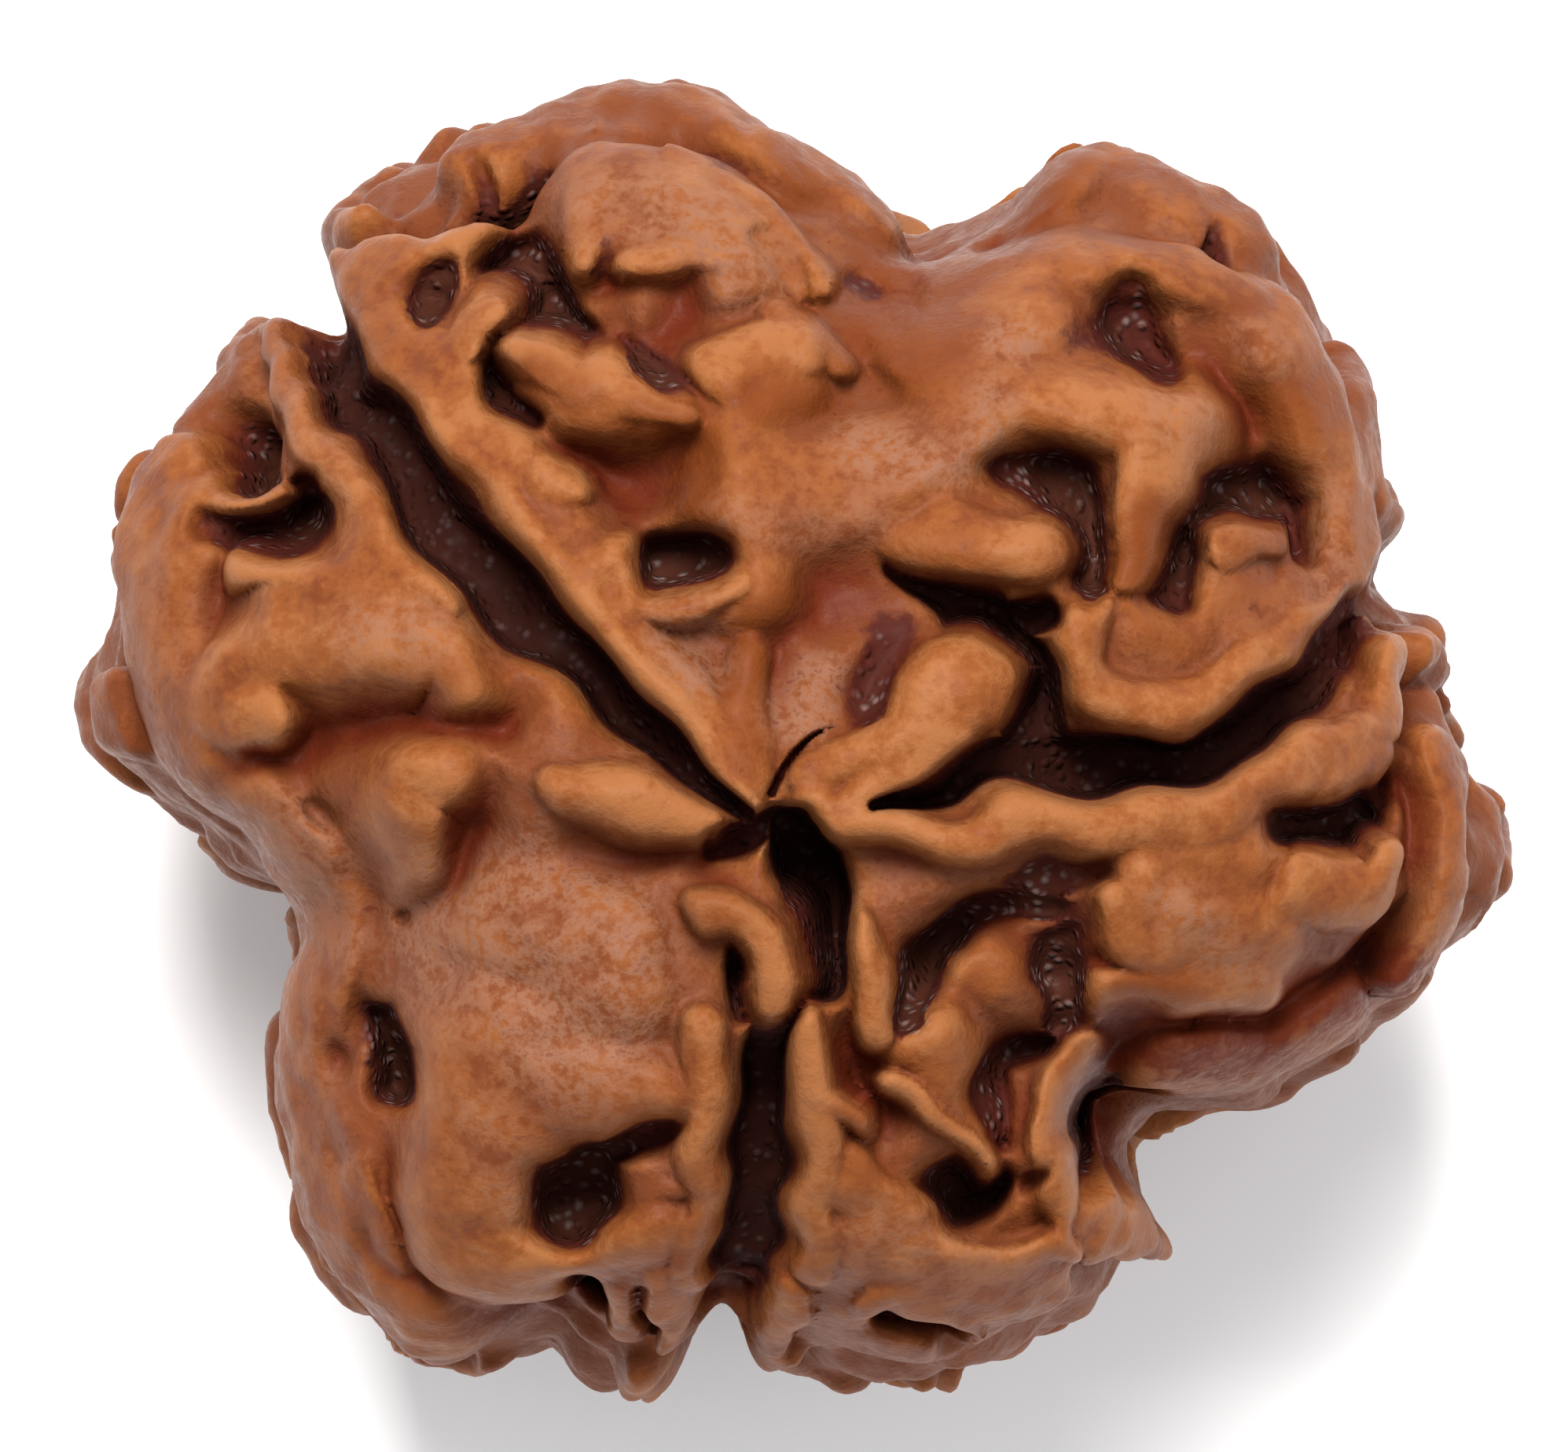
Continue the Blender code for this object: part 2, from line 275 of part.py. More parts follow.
# Fins, teeth and knobs that stand in the pits or reach over them.
FINS = [
    # the fin and the finger knob in the upper lobe
    ((0.18, 0.34, 0.34, 0.30, 0.2), (0.45, 0.35, 0.25), [(-3.85, 7.1), (-3.4, 6.85), (-3.0, 6.55), (-2.55, 6.65),
                                                          (-2.2, 6.4), (-1.8, 6.15), (-1.4, 6.0)]),
    ((0.26, 0.26), (0.3, 0.15), [(-4.2, 7.8), (-4.55, 7.4), (-4.7, 6.9)]),
    # the stem of the T shaped ridge, and the tooth beside it
    ((0.70, 0.55, 0.40, 0.26), (0.35, 0.3, 0.1), [(5.75, 5.7), (5.65, 5.0), (5.45, 4.3), (5.3, 3.6)]),
    ((0.20, 0.22, 0.24), (-0.1, 0.0, -0.1), [(7.5, 4.15), (7.1, 4.2), (6.75, 4.05)]),
    # the tongue
    ((0.40, 0.50, 0.50), (-0.5, 0.05, 0.35), [(1.7, 4.35), (2.6, 4.2), (3.3, 4.05), (3.9, 4.0)]),
    # the head of the bone shaped ridge
    ((0.36, 0.62, 0.84), (0.1, 0.25, 0.28), [(1.6, 0.85), (2.2, 1.35), (2.85, 1.98)]),
    # the hook by the hole
    ((0.34, 0.28, 0.22), (0.15, 0.3, 0.2), [(-1.1, -1.45), (-0.6, -1.4), (-0.1, -1.7), (0.1, -2.2), (-0.05, -2.8)]),
    # nub in the pit of the lower left
    (0.17, (-0.2, -0.5), [(-1.5, -5.5), (-2.1, -5.6)]),
    # finger knob, spike and fin of the lower right
    ((0.50, 0.60, 0.54, 0.38), (0.2, 0.3), [(7.9, -1.05), (8.6, -1.15), (9.0, -1.1), (9.2, -0.6)]),
    ((0.16, 0.14, 0.10), (-0.05, 0.05, 0.1), [(1.75, -3.95), (2.25, -4.2), (2.7, -4.6), (3.15, -5.1)]),
    ((0.60, 0.46, 0.20), (0.0, 0.0), [(5.0, -6.3), (5.4, -6.4), (6.0, -6.5)]),
]

# Seeded growth on the flanks, where the plan above shows nothing.
FLANK_SEED = 7
FLANK_RIDGES = 110
FLANK_PITS = 90
FLANK_TOP = 0.0              # the highest the flank growth starts, from the bead's middle
FLANK_BOTTOM = -6.0
FLANK_STEP = 0.75
FLANK_SPACING = 1.15         # the nearest that two of them start to each other
FLANK_RIDGE_WIDTHS = (0.32, 0.7)
FLANK_RIDGE_LEVELS = (-0.3, 0.05)
FLANK_RIDGE_STEPS = (2, 5)
FLANK_PIT_WIDTHS = (0.22, 0.46)
FLANK_PIT_DEPTHS = (0.7, 1.8)
FLANK_PIT_STEPS = (1, 2)
FLANK_PIT_DROP = 1.2         # how much lower the flank pits start than the flank ridges
FLANK_TRIES = 6              # places tried for each flank stroke
FLANK_HEADING = 0.6          # how far, in radians, a flank stroke sets out off the pole to pole line
FLANK_TURNING = 0.35         # and how far it turns at each step
CLEFT_CLEARANCE = 8          # degrees kept free beside a cleft where a flank stroke starts
CLEFT_APPROACH = 6           # and where it ends

# The clefts on the flanks.
CLEFT_REACH = 2.6            # how far they run above and below the middle of the bead
CLEFT_STEPS = 9
CLEFT_SWAY = 2.0             # how far they sway, in degrees, and how quickly
CLEFT_SWAY_SPEED = 0.9
CLEFT_PHASES = ((CLEFT_A, 0.3), (CLEFT_C, 2.1), (CLEFT_B, 4.0))
CLEFT_WIDTH = 0.55
CLEFT_DEPTH = 0.45
CLEFT_RIM_WIDTH = 0.36
CLEFT_RIM_OFFSET = 6.5       # degrees from a cleft to its rims

# How strokes become relief.
SWELL = 0.13                 # slow undulation of the plain surface, and its length
SWELL_LENGTH = 3.4
RIPPLE = 0.06                # quicker undulation, and its length
RIPPLE_LENGTH = 1.5
SKIN = 0.02                  # the finest undulation, and its length
SKIN_LENGTH = 0.7
WANDER = 0.07                # how far strokes stray from their drawn lines, and over what length
WANDER_LENGTH = 1.6
HOLLOW_SHARPNESS = 2.6       # how steeply a hollow's sides fall, and a pit's and a cleft's
PIT_SHARPNESS = 5.5
CLEFT_SHARPNESS = 9
HOLLOW_FILLET = 0.25         # millimetres over which neighbours run together
PIT_FILLET = 0.2
BROAD_RIDGE = 0.55           # half width from which a ridge counts as broad
BROAD_FILLET = 0.5
FLANK_FILLET = 0.35
RIDGE_FILLET = 0.22
FIN_FILLET = 0.15
SOFT_WALL = 2.4              # slope of the sides of broad ridges
RIDGE_WALL = 4.5
FIN_WALL = 6
EDGE_BAND = 3.5              # how far above and below the middle the outline's detail fades
PLAN_SQUASH = 0.3            # how little height counts in the distance from a stroke of the plan
HALVES_APART = 1.0           # how far apart that distance keeps the upper and the lower strokes
HALVES_BLEND = 1.2
LEAN_POWER = 14              # how late the growth leans out towards the bead's widest part
SHOULDER = 0.92              # share of a ridge's half width at which its round back turns into its wall
BRIM = 0.9995                # the farthest out, as a share of the outline, that plan strokes are lifted

COLOUR_BASE = (0.27, 0.085, 0.025, 1.0)
ROUGHNESS = 0.5


def waves(points, length, seed, count=16):
    """Smooth random undulation of about unit size, made of plane waves of one rough length."""
    draw = np.random.default_rng(seed)
    ways = draw.normal(size=(count, 3))
    ways /= np.linalg.norm(ways, axis=1, keepdims=True)
    ways *= 2 * math.pi / length * draw.uniform(0.7, 1.3, size=(count, 1))
    phases = draw.uniform(0, 2 * math.pi, count)
    return np.sin(points @ ways.T + phases).sum(axis=1) / math.sqrt(count / 2)


def outline_radius(spread):
    """The outline as a radius for each tenth of a degree, blurred over spread degrees."""
    corners = np.array(OUTLINE)
    angles = np.degrees(np.arctan2(corners[:, 1], corners[:, 0])) % 360
    order = np.argsort(angles)
    turns = np.arange(3600) / 10
    radii = np.interp(turns, angles[order], np.hypot(*corners.T)[order], period=360)
    offsets = np.minimum(turns, 360 - turns)
    kernel = np.exp(-0.5 * (offsets / spread) ** 2)
    spectrum = np.fft.rfft(radii) * np.fft.rfft(kernel / kernel.sum())
    return np.fft.irfft(spectrum, 3600)


SMOOTH_RADIUS = outline_radius(5.0)
DETAIL_RADIUS = outline_radius(1.0)


def radius_at(turns, table):
    """Read a radius table at angles in degrees."""
    return np.interp(turns % 360, np.arange(3600) / 10, table, period=360)


def on_envelope(plan, side=1):
    """Lift plan points onto the upper (side 1) or lower (side -1) half of the envelope."""
    plan = np.asarray(plan, dtype=float)
    reach = radius_at(np.degrees(np.arctan2(plan[:, 1], plan[:, 0])), SMOOTH_RADIUS)
    far = np.maximum(np.hypot(plan[:, 0], plan[:, 1]), 1e-9)
    share = np.minimum(far / reach, BRIM)
    height = HALF_HEIGHT * (1 - share ** SQUARENESS) ** (1 / SQUARENESS)
    return np.column_stack([plan * (share * reach / far)[:, None], side * height])


def turned_under(plan):
    """Carry plan points to the lower pole, with each lobe's growth moved on by one lobe."""
    plan = np.asarray(plan, dtype=float)
    turns = np.degrees(np.arctan2(plan[:, 1], plan[:, 0]))
    share = np.hypot(plan[:, 0], plan[:, 1]) / radius_at(turns, SMOOTH_RADIUS)
    above = [CLEFT_A, CLEFT_C, CLEFT_B, CLEFT_A + 360]
    below = [CLEFT_C, CLEFT_B, CLEFT_A + 360, CLEFT_C + 360]
    moved = np.interp((turns - CLEFT_A) % 360 + CLEFT_A, above, below)
    reach = share * radius_at(moved, SMOOTH_RADIUS)
    return np.column_stack([reach * np.cos(np.radians(moved)), reach * np.sin(np.radians(moved))])


def smooth_line(points, steps=4):
    """A rounded line through points."""
    points = np.asarray(points, dtype=float)
    if len(points) < 3:
        return points
    padded = np.vstack([2 * points[0] - points[1], points, 2 * points[-1] - points[-2]])
    line = []
    for before, start, end, after in zip(padded, padded[1:], padded[2:], padded[3:]):
        for part in np.arange(steps) / steps:
            line.append(0.5 * (2 * start + (end - before) * part
                               + (2 * before - 5 * start + 4 * end - after) * part ** 2
                               + (3 * start - before - 3 * end + after) * part ** 3))
    line.append(points[-1])
    return np.array(line)


def squashed(points):
    """Points as strokes of the plan see them: each half's height is drawn together, and the halves held apart."""
    points = np.asarray(points)
    height = PLAN_SQUASH * points[:, 2] + HALVES_APART * np.tanh(points[:, 2] / HALVES_BLEND)
    return np.column_stack([points[:, :2], height])


def hand_strokes(strokes):
    """The strokes of the plan, on the upper half and carried to the lower half."""
    made = []
    for widths, heights, plan in strokes:
        line = smooth_line(plan)
        for lifted in (on_envelope(line), on_envelope(turned_under(line), side=-1)):
            made.append((np.atleast_1d(widths), np.atleast_1d(heights), squashed(lifted)))
    return made


def flank_point(turn, height):
    """A point of the envelope at an angle in degrees and a height."""
    share = (1 - (abs(height) / HALF_HEIGHT) ** SQUARENESS) ** (1 / SQUARENESS)
    reach = float(radius_at(np.array([turn]), SMOOTH_RADIUS)[0]) * share
    return [reach * math.cos(math.radians(turn)), reach * math.sin(math.radians(turn)), height]


def cleft_distance(turn):
    """How far an angle is from the nearest cleft, in degrees."""
    return min(abs((turn - cleft + 180) % 360 - 180) for cleft in (CLEFT_A, CLEFT_B, CLEFT_C))


def flank_strokes(count, widths, heights, steps, seed, drop=0):
    """Short wandering strokes on the flanks, mostly running from pole to pole."""
    draw = np.random.default_rng(seed)
    made = []
    starts = []
    for attempt in range(FLANK_TRIES * count):
        turn = draw.uniform(0, 360)
        height = draw.uniform(FLANK_BOTTOM, FLANK_TOP - drop)
        start = np.array(flank_point(turn, height))
        shares = draw.uniform(size=3)
        heading = draw.normal(0, FLANK_HEADING)
        turning = draw.normal(0, FLANK_TURNING, 6)
        crowded = any(np.linalg.norm(start - other) < FLANK_SPACING for other in starts)
        if crowded or cleft_distance(turn) < CLEFT_CLEARANCE or len(made) == count:
            continue
        starts.append(start)
        line = [start]
        for step in range(steps[0] + int(shares[0] * (steps[1] - steps[0] + 1))):
            heading += turning[step]
            turn += math.degrees(FLANK_STEP * math.sin(heading) / CROWN)
            height -= FLANK_STEP * math.cos(heading)
            if cleft_distance(turn) < CLEFT_APPROACH:
                break
            line.append(np.array(flank_point(turn, height)))
        if len(line) < 2:
            continue
        width = widths[0] + shares[1] * (widths[1] - widths[0])
        level = heights[0] + shares[2] * (heights[1] - heights[0])
        made.append((np.array([width, 0.85 * width]), np.array([level]), smooth_line(line)))
    return made


def cleft_walls():
    """The clefts and their rims where they run down the flanks."""
    clefts = []
    rims = []
    heights = np.linspace(CLEFT_REACH, -CLEFT_REACH, CLEFT_STEPS)
    for turn, phase in CLEFT_PHASES:
        sway = CLEFT_SWAY * np.sin(heights * CLEFT_SWAY_SPEED + phase) * np.cos(heights / CLEFT_REACH * math.pi / 2)
        for strokes, width, height, side in ((clefts, CLEFT_WIDTH, CLEFT_DEPTH, 0),
                                             (rims, CLEFT_RIM_WIDTH, 0.0, -CLEFT_RIM_OFFSET),
                                             (rims, CLEFT_RIM_WIDTH, 0.0, CLEFT_RIM_OFFSET)):
            line = smooth_line([flank_point(turn + sideways + side, up) for sideways, up in zip(sway, heights)])
            strokes.append((np.array([width]), np.array([height]), line))
    return clefts, rims


def spread_along(values, place):
    """Values spread evenly along a stroke, read at places from 0 to 1."""
    return np.interp(place, np.linspace(0, 1, len(values)), values) if len(values) > 1 else values[0]


def nearest(points, stroke, reach):
    """For the points near a stroke: their numbers, their distance from it, and its width and height there."""
    widths, heights, line = stroke
    centre = line.mean(axis=0)
    radius = np.linalg.norm(line - centre, axis=1).max() + reach
    near = np.flatnonzero(((points - centre) ** 2).sum(axis=1) < radius ** 2)
    spot = points[near]
    along = np.concatenate([[0], np.cumsum(np.linalg.norm(np.diff(line, axis=0), axis=1))])
    along /= along[-1]
    best = np.full(len(near), np.inf)
    place = np.zeros(len(near))
    for number, (start, end) in enumerate(zip(line, line[1:])):
        step = end - start
        part = np.clip((spot - start) @ step / (step @ step), 0, 1)
        far = ((spot - start - part[:, None] * step) ** 2).sum(axis=1)
        closer = far < best
        best[closer] = far[closer]
        place[closer] = along[number] + part[closer] * (along[number + 1] - along[number])
    return near, np.sqrt(best), spread_along(widths, place), spread_along(heights, place)


def softly_higher(first, second, blend):
    """The higher of two heights, with a fillet where they meet."""
    share = np.clip(0.5 + 0.5 * (second - first) / blend, 0, 1)
    return first + (second - first) * share + blend * share * (1 - share)


def cut_depth(points, strokes, sharpness, blend):
    """How deep the strokes cut at each point; neighbours run together softly."""
    depth = np.zeros(len(points))
    for stroke in strokes:
        near, far, width, height = nearest(points, stroke, 3 * stroke[0].max())
        cut = height / (1 + (far / width) ** sharpness)
        depth[near] = softly_higher(depth[near], cut, blend * np.minimum(1, cut + 0.01))
    return depth


def raise_ridges(points, level, strokes, blend, wall):
    """Raise round-backed ridges out of a surface, with walls of a slope and a fillet at the foot."""
    for stroke in strokes:
        near, far, width, height = nearest(points, stroke, stroke[0].max() + 3.5 / wall)
        share = np.minimum(far / width, SHOULDER)
        back = height - width * (1 - np.sqrt(1 - share ** 2)) - wall * np.maximum(0, far - SHOULDER * width)
        level[near] = softly_higher(level[near], back, blend)
    return level


def relief(points):
    """The height of the grown surface over the envelope, at points of the envelope."""
    warped = points + WANDER * np.column_stack([waves(points, WANDER_LENGTH, 20 + axis) for axis in range(3)])
    drawn = squashed(warped)
    clefts, rims = cleft_walls()
    level = GROUND_LEVEL + SWELL * waves(points, SWELL_LENGTH, 1) + RIPPLE * waves(points, RIPPLE_LENGTH, 2)
    level -= cut_depth(drawn, hand_strokes(HOLLOWS), HOLLOW_SHARPNESS, HOLLOW_FILLET)
    ridges = hand_strokes(RIDGES)
    broad = [ridge for ridge in ridges if ridge[0].max() >= BROAD_RIDGE]
    narrow = [ridge for ridge in ridges if ridge[0].max() < BROAD_RIDGE]
    flank = flank_strokes(FLANK_RIDGES, FLANK_RIDGE_WIDTHS, FLANK_RIDGE_LEVELS, FLANK_RIDGE_STEPS, FLANK_SEED)
    level = raise_ridges(drawn, level, broad, BROAD_FILLET, SOFT_WALL)
    level = raise_ridges(warped, level, rims + flank, FLANK_FILLET, SOFT_WALL)
    level = raise_ridges(drawn, level, narrow, RIDGE_FILLET, RIDGE_WALL)
    pits = flank_strokes(FLANK_PITS, FLANK_PIT_WIDTHS, FLANK_PIT_DEPTHS, FLANK_PIT_STEPS, FLANK_SEED + 1,
                         FLANK_PIT_DROP)
    sunk = cut_depth(warped, pits + clefts, PIT_SHARPNESS, PIT_FILLET)
    holes = cut_depth(drawn, hand_strokes(PITS), PIT_SHARPNESS, PIT_FILLET)
    cleft = cut_depth(drawn, hand_strokes(CLEFTS), CLEFT_SHARPNESS, PIT_FILLET)
    level -= np.maximum(sunk, np.maximum(holes, cleft))
    level = raise_ridges(drawn, level, hand_strokes(FINS), FIN_FILLET, FIN_WALL)
    return level + SKIN * waves(points, SKIN_LENGTH, 3)


def grown_surface(directions):
    """Points of the bead's surface, in millimetres from its middle, along unit directions."""
    turns = np.degrees(np.arctan2(directions[:, 1], directions[:, 0]))
    smooth = radius_at(turns, SMOOTH_RADIUS)
    across = np.hypot(directions[:, 0], directions[:, 1])
    upright = np.abs(directions[:, 2])
    length = ((across / smooth) ** SQUARENESS + (upright / HALF_HEIGHT) ** SQUARENESS) ** (-1 / SQUARENESS)
    envelope = directions * length[:, None]
    # The growth stands upright on the crown and leans out only towards the bead's widest part.
    lean = math.pi / 2 * (across * length / smooth) ** LEAN_POWER
    outward = directions[:, :2] / np.maximum(across, 1e-9)[:, None]
    ways = np.column_stack([outward * np.sin(lean)[:, None], np.sign(directions[:, 2]) * np.cos(lean)])
    edge = np.exp(-(envelope[:, 2] / EDGE_BAND) ** 2) * (radius_at(turns, DETAIL_RADIUS) - smooth)
    places = envelope + ways * relief(envelope)[:, None]
    places[:, :2] += outward * edge[:, None]
    return places


def bead_mesh():
    """The bead as one closed faceted solid, standing on its flat spot."""
    mesh = bpy.data.meshes.new("rudraksha_bead")
    shape = bmesh.new()
    bmesh.ops.create_icosphere(shape, subdivisions=SPHERE_LEVEL, radius=1.0)
    directions = np.array([vertex.co for vertex in shape.verts])
    directions /= np.linalg.norm(directions, axis=1, keepdims=True)
    grown = grown_surface(directions)
    for vertex, place in zip(shape.verts, grown):
        vertex.co = place * MM
    shape.to_mesh(mesh)
    shape.free()
    return mesh


def thinned(piece, triangles):
    """Reduce a piece's mesh to about a number of triangles, keeping its relief."""
    modifier = piece.modifiers.new("thin", "DECIMATE")
    modifier.ratio = triangles / len(piece.data.polygons)
    evaluated = piece.evaluated_get(bpy.context.evaluated_depsgraph_get())
    mesh = bpy.data.meshes.new_from_object(evaluated)
    piece.modifiers.clear()
    piece.data = mesh
    mesh.name = piece.name


def stand_on_flat(piece):
    """Cut the flat spot and set the origin under the middle of the bead, on the ground."""
    shape = bmesh.new()
    shape.from_mesh(piece.data)
    ground = -FOOT * MM
    cut = bmesh.ops.bisect_plane(shape, geom=shape.verts[:] + shape.edges[:] + shape.faces[:],
                                 dist=CUT_GRIP, plane_co=(0, 0, ground), plane_no=(0, 0, 1), clear_inner=True)
    rim = [item for item in cut["geom_cut"] if isinstance(item, bmesh.types.BMEdge)]
    filled = bmesh.ops.holes_fill(shape, edges=rim, sides=0)
    bmesh.ops.triangulate(shape, faces=filled["faces"])
    places = np.array([vertex.co for vertex in shape.verts])
    middle = (places.min(axis=0) + places.max(axis=0)) / 2
    bmesh.ops.translate(shape, verts=shape.verts, vec=(-middle[0], -middle[1], -ground))
    for vertex in shape.verts:
        if abs(vertex.co.z) < 2 * CUT_GRIP:
            vertex.co.z = 0
    bmesh.ops.recalc_face_normals(shape, faces=shape.faces)
    shape.to_mesh(piece.data)
    shape.free()


def bead_material():
    """Oiled reddish brown wood."""
    material = bpy.data.materials.new("bead_wood")
    material.use_nodes = True
    shader = material.node_tree.nodes["Principled BSDF"]
    shader.inputs["Base Color"].default_value = COLOUR_BASE
    shader.inputs["Roughness"].default_value = ROUGHNESS
    shader.inputs["Metallic"].default_value = 0.0
    return material


def build():
    """Clear the scene and grow the bead."""
    for old in list(bpy.data.objects):
        bpy.data.objects.remove(old)
    collection = bpy.data.collections.new("rudraksha")
    bpy.context.scene.collection.children.link(collection)
    piece = bpy.data.objects.new("rudraksha_bead", bead_mesh())
    collection.objects.link(piece)
    thinned(piece, SOLID_TRIANGLES)
    stand_on_flat(piece)
    piece.data.shade_smooth()
    piece.data.materials.append(bead_material())


build()
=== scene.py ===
"""A three mukhi rudraksha bead, seen from over its upper pole, in soft daylight on a white ground."""
import math

import bpy
import numpy as np
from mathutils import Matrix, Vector


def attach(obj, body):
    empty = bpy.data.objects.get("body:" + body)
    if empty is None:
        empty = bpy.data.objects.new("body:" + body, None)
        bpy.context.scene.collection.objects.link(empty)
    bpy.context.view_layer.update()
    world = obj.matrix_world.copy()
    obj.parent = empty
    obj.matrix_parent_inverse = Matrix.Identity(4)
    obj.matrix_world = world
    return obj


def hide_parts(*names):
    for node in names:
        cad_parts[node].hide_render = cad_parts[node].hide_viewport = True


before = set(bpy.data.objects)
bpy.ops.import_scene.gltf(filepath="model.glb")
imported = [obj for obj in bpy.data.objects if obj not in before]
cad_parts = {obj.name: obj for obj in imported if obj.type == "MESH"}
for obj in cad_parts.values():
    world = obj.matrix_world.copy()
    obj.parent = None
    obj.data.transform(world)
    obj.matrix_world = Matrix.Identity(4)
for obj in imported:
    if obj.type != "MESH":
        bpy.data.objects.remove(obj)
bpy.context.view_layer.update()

# The bead: the woody stone of one fruit, grown as one piece, washed clean and rubbed with oil.
# Three clefts part it into three lobes, and its ridges, fins and pits are grown out of a full,
# slightly square ball by listed strokes. The plan's zero is where the clefts meet. Sizes in mm.
HALF_HEIGHT = 9.9            # from the middle of the bead to a pole, before any relief
SQUARENESS = 2.3             # 2 gives an ellipsoid, more gives fuller shoulders
CROWN = 10.4                 # typical distance from the bead's middle to its surface
GROUND_LEVEL = -0.5          # the plain surface, measured from the outer envelope of the ridges
MM = 0.001

# The bead's outline from above, anticlockwise from the upper left.
OUTLINE = [
    (-5.0, 10.45), (-6.0, 10.0), (-6.5, 9.4), (-6.95, 8.9), (-7.0, 8.5), (-6.96, 7.88),
    (-7.2, 7.85), (-7.6, 7.97), (-8.05, 7.45), (-8.6, 6.65), (-9.4, 6.0), (-9.9, 5.25),
    (-10.3, 4.4), (-10.5, 3.7), (-10.4, 2.8), (-10.7, 1.7), (-10.45, 0.9), (-10.1, 0.5),
    (-9.6, 0.5), (-9.0, -0.1), (-8.5, -0.85), (-7.7, -1.15), (-7.35, -1.45), (-7.55, -2.2),
    (-7.75, -3.0), (-7.75, -4.4), (-7.45, -5.2), (-7.4, -6.2), (-6.9, -7.0), (-6.3, -7.7),
    (-5.6, -8.4), (-4.5, -8.6), (-4.0, -8.3), (-3.4, -8.15), (-3.15, -8.6), (-2.8, -8.9),
    (-2.1, -8.97), (-1.5, -8.6), (-1.2, -7.8), (-0.8, -7.25), (-0.6, -7.8), (-0.35, -8.4),
    (0.2, -8.3), (0.9, -8.75), (2.2, -9.0), (3.4, -8.55), (4.3, -7.85), (5.05, -7.75),
    (5.4, -7.0), (6.23, -6.48), (5.9, -6.1), (5.65, -5.6), (6.1, -4.7), (6.95, -4.4),
    (7.5, -4.7), (8.2, -4.1), (9.15, -3.5), (9.9, -2.85), (10.7, -1.85), (11.15, -1.1),
    (11.3, -0.3), (10.9, 0.6), (10.2, 1.8), (10.15, 3.05), (9.6, 3.95), (9.5, 4.6),
    (9.25, 5.6), (9.15, 6.45), (8.5, 7.5), (8.25, 8.35), (7.5, 9.2), (6.5, 9.75),
    (5.4, 10.2), (4.5, 10.35), (3.85, 9.75), (3.0, 9.4), (2.1, 9.17), (1.3, 9.95),
    (0.45, 10.4), (-0.3, 10.8), (-1.1, 11.28), (-2.5, 11.25), (-3.75, 10.8),
]

# Where the clefts cross the widest part of the bead, in degrees anticlockwise from x.
CLEFT_A, CLEFT_C, CLEFT_B = 131.5, 263.7, 381.0

# A stroke is (half width, height, points). Several widths or heights are spread evenly along it.
# Heights of ridges are levels from the outer envelope; those of clefts, hollows and pits are depths.
CLEFTS = [
    # A, to the upper left
    ((0.5, 0.46, 0.52, 0.5, 0.42, 0.24, 0.14), (0.5, 1.8, 2.3, 2.3, 2.1, 1.8, 1.6),
     [(-7.05, 7.9), (-6.7, 7.0), (-6.0, 6.05), (-5.5, 5.3), (-4.95, 4.5), (-4.2, 3.65), (-3.3, 2.7),
      (-2.4, 1.8), (-1.4, 0.85), (-0.4, 0.1)]),
    # B, to the right
    ((0.08, 0.2, 0.34, 0.44), (1.4, 2.0, 2.4), [(1.45, 0.15), (2.5, 0.55), (3.5, 0.85), (4.2, 0.9)]),
    ((0.44, 0.38, 0.44, 0.44, 0.5), (2.4, 2.4, 2.2, 1.4, 0.6),
     [(4.2, 0.9), (5.0, 0.8), (6.2, 0.82), (6.9, 1.25), (7.7, 1.75), (8.3, 2.3), (8.9, 2.95),
      (9.45, 3.5)]),
    # the slot that branches upwards from B
    ((0.44, 0.46, 0.4, 0.22), (2.2, 2.0, 1.1),
     [(4.0, 1.2), (3.7, 2.2), (3.3, 2.85), (2.75, 3.2), (1.95, 3.8)]),
    ((0.34, 0.22), (1.9, 1.4), [(3.3, 2.9), (3.7, 3.0), (4.05, 3.15)]),
    # C, downwards
    ((0.26, 0.34, 0.38, 0.46, 0.5), (2.0, 2.4, 2.4, 1.9, 0.6),
     [(0.1, -2.75), (-0.15, -3.4), (-0.2, -4.2), (-0.25, -5.2), (-0.35, -6.2), (-0.75, -7.6)]),
    # the natural hole between them
    ((0.3, 0.44, 0.42, 0.34), (2.6, 3.2, 2.8), [(0.25, 0.0), (0.55, -0.8), (0.65, -1.5), (0.62, -2.35)]),
    ((0.26, 0.3, 0.22), (1.8, 1.2, 0.8), [(0.1, 0.05), (-0.4, -0.25), (-0.85, -0.35)]),
    ((0.06, 0.05, 0.03), (0.8, 0.6, 0.3), [(-0.05, 0.5), (0.12, 0.95), (0.4, 1.25), (0.8, 1.42)]),
]

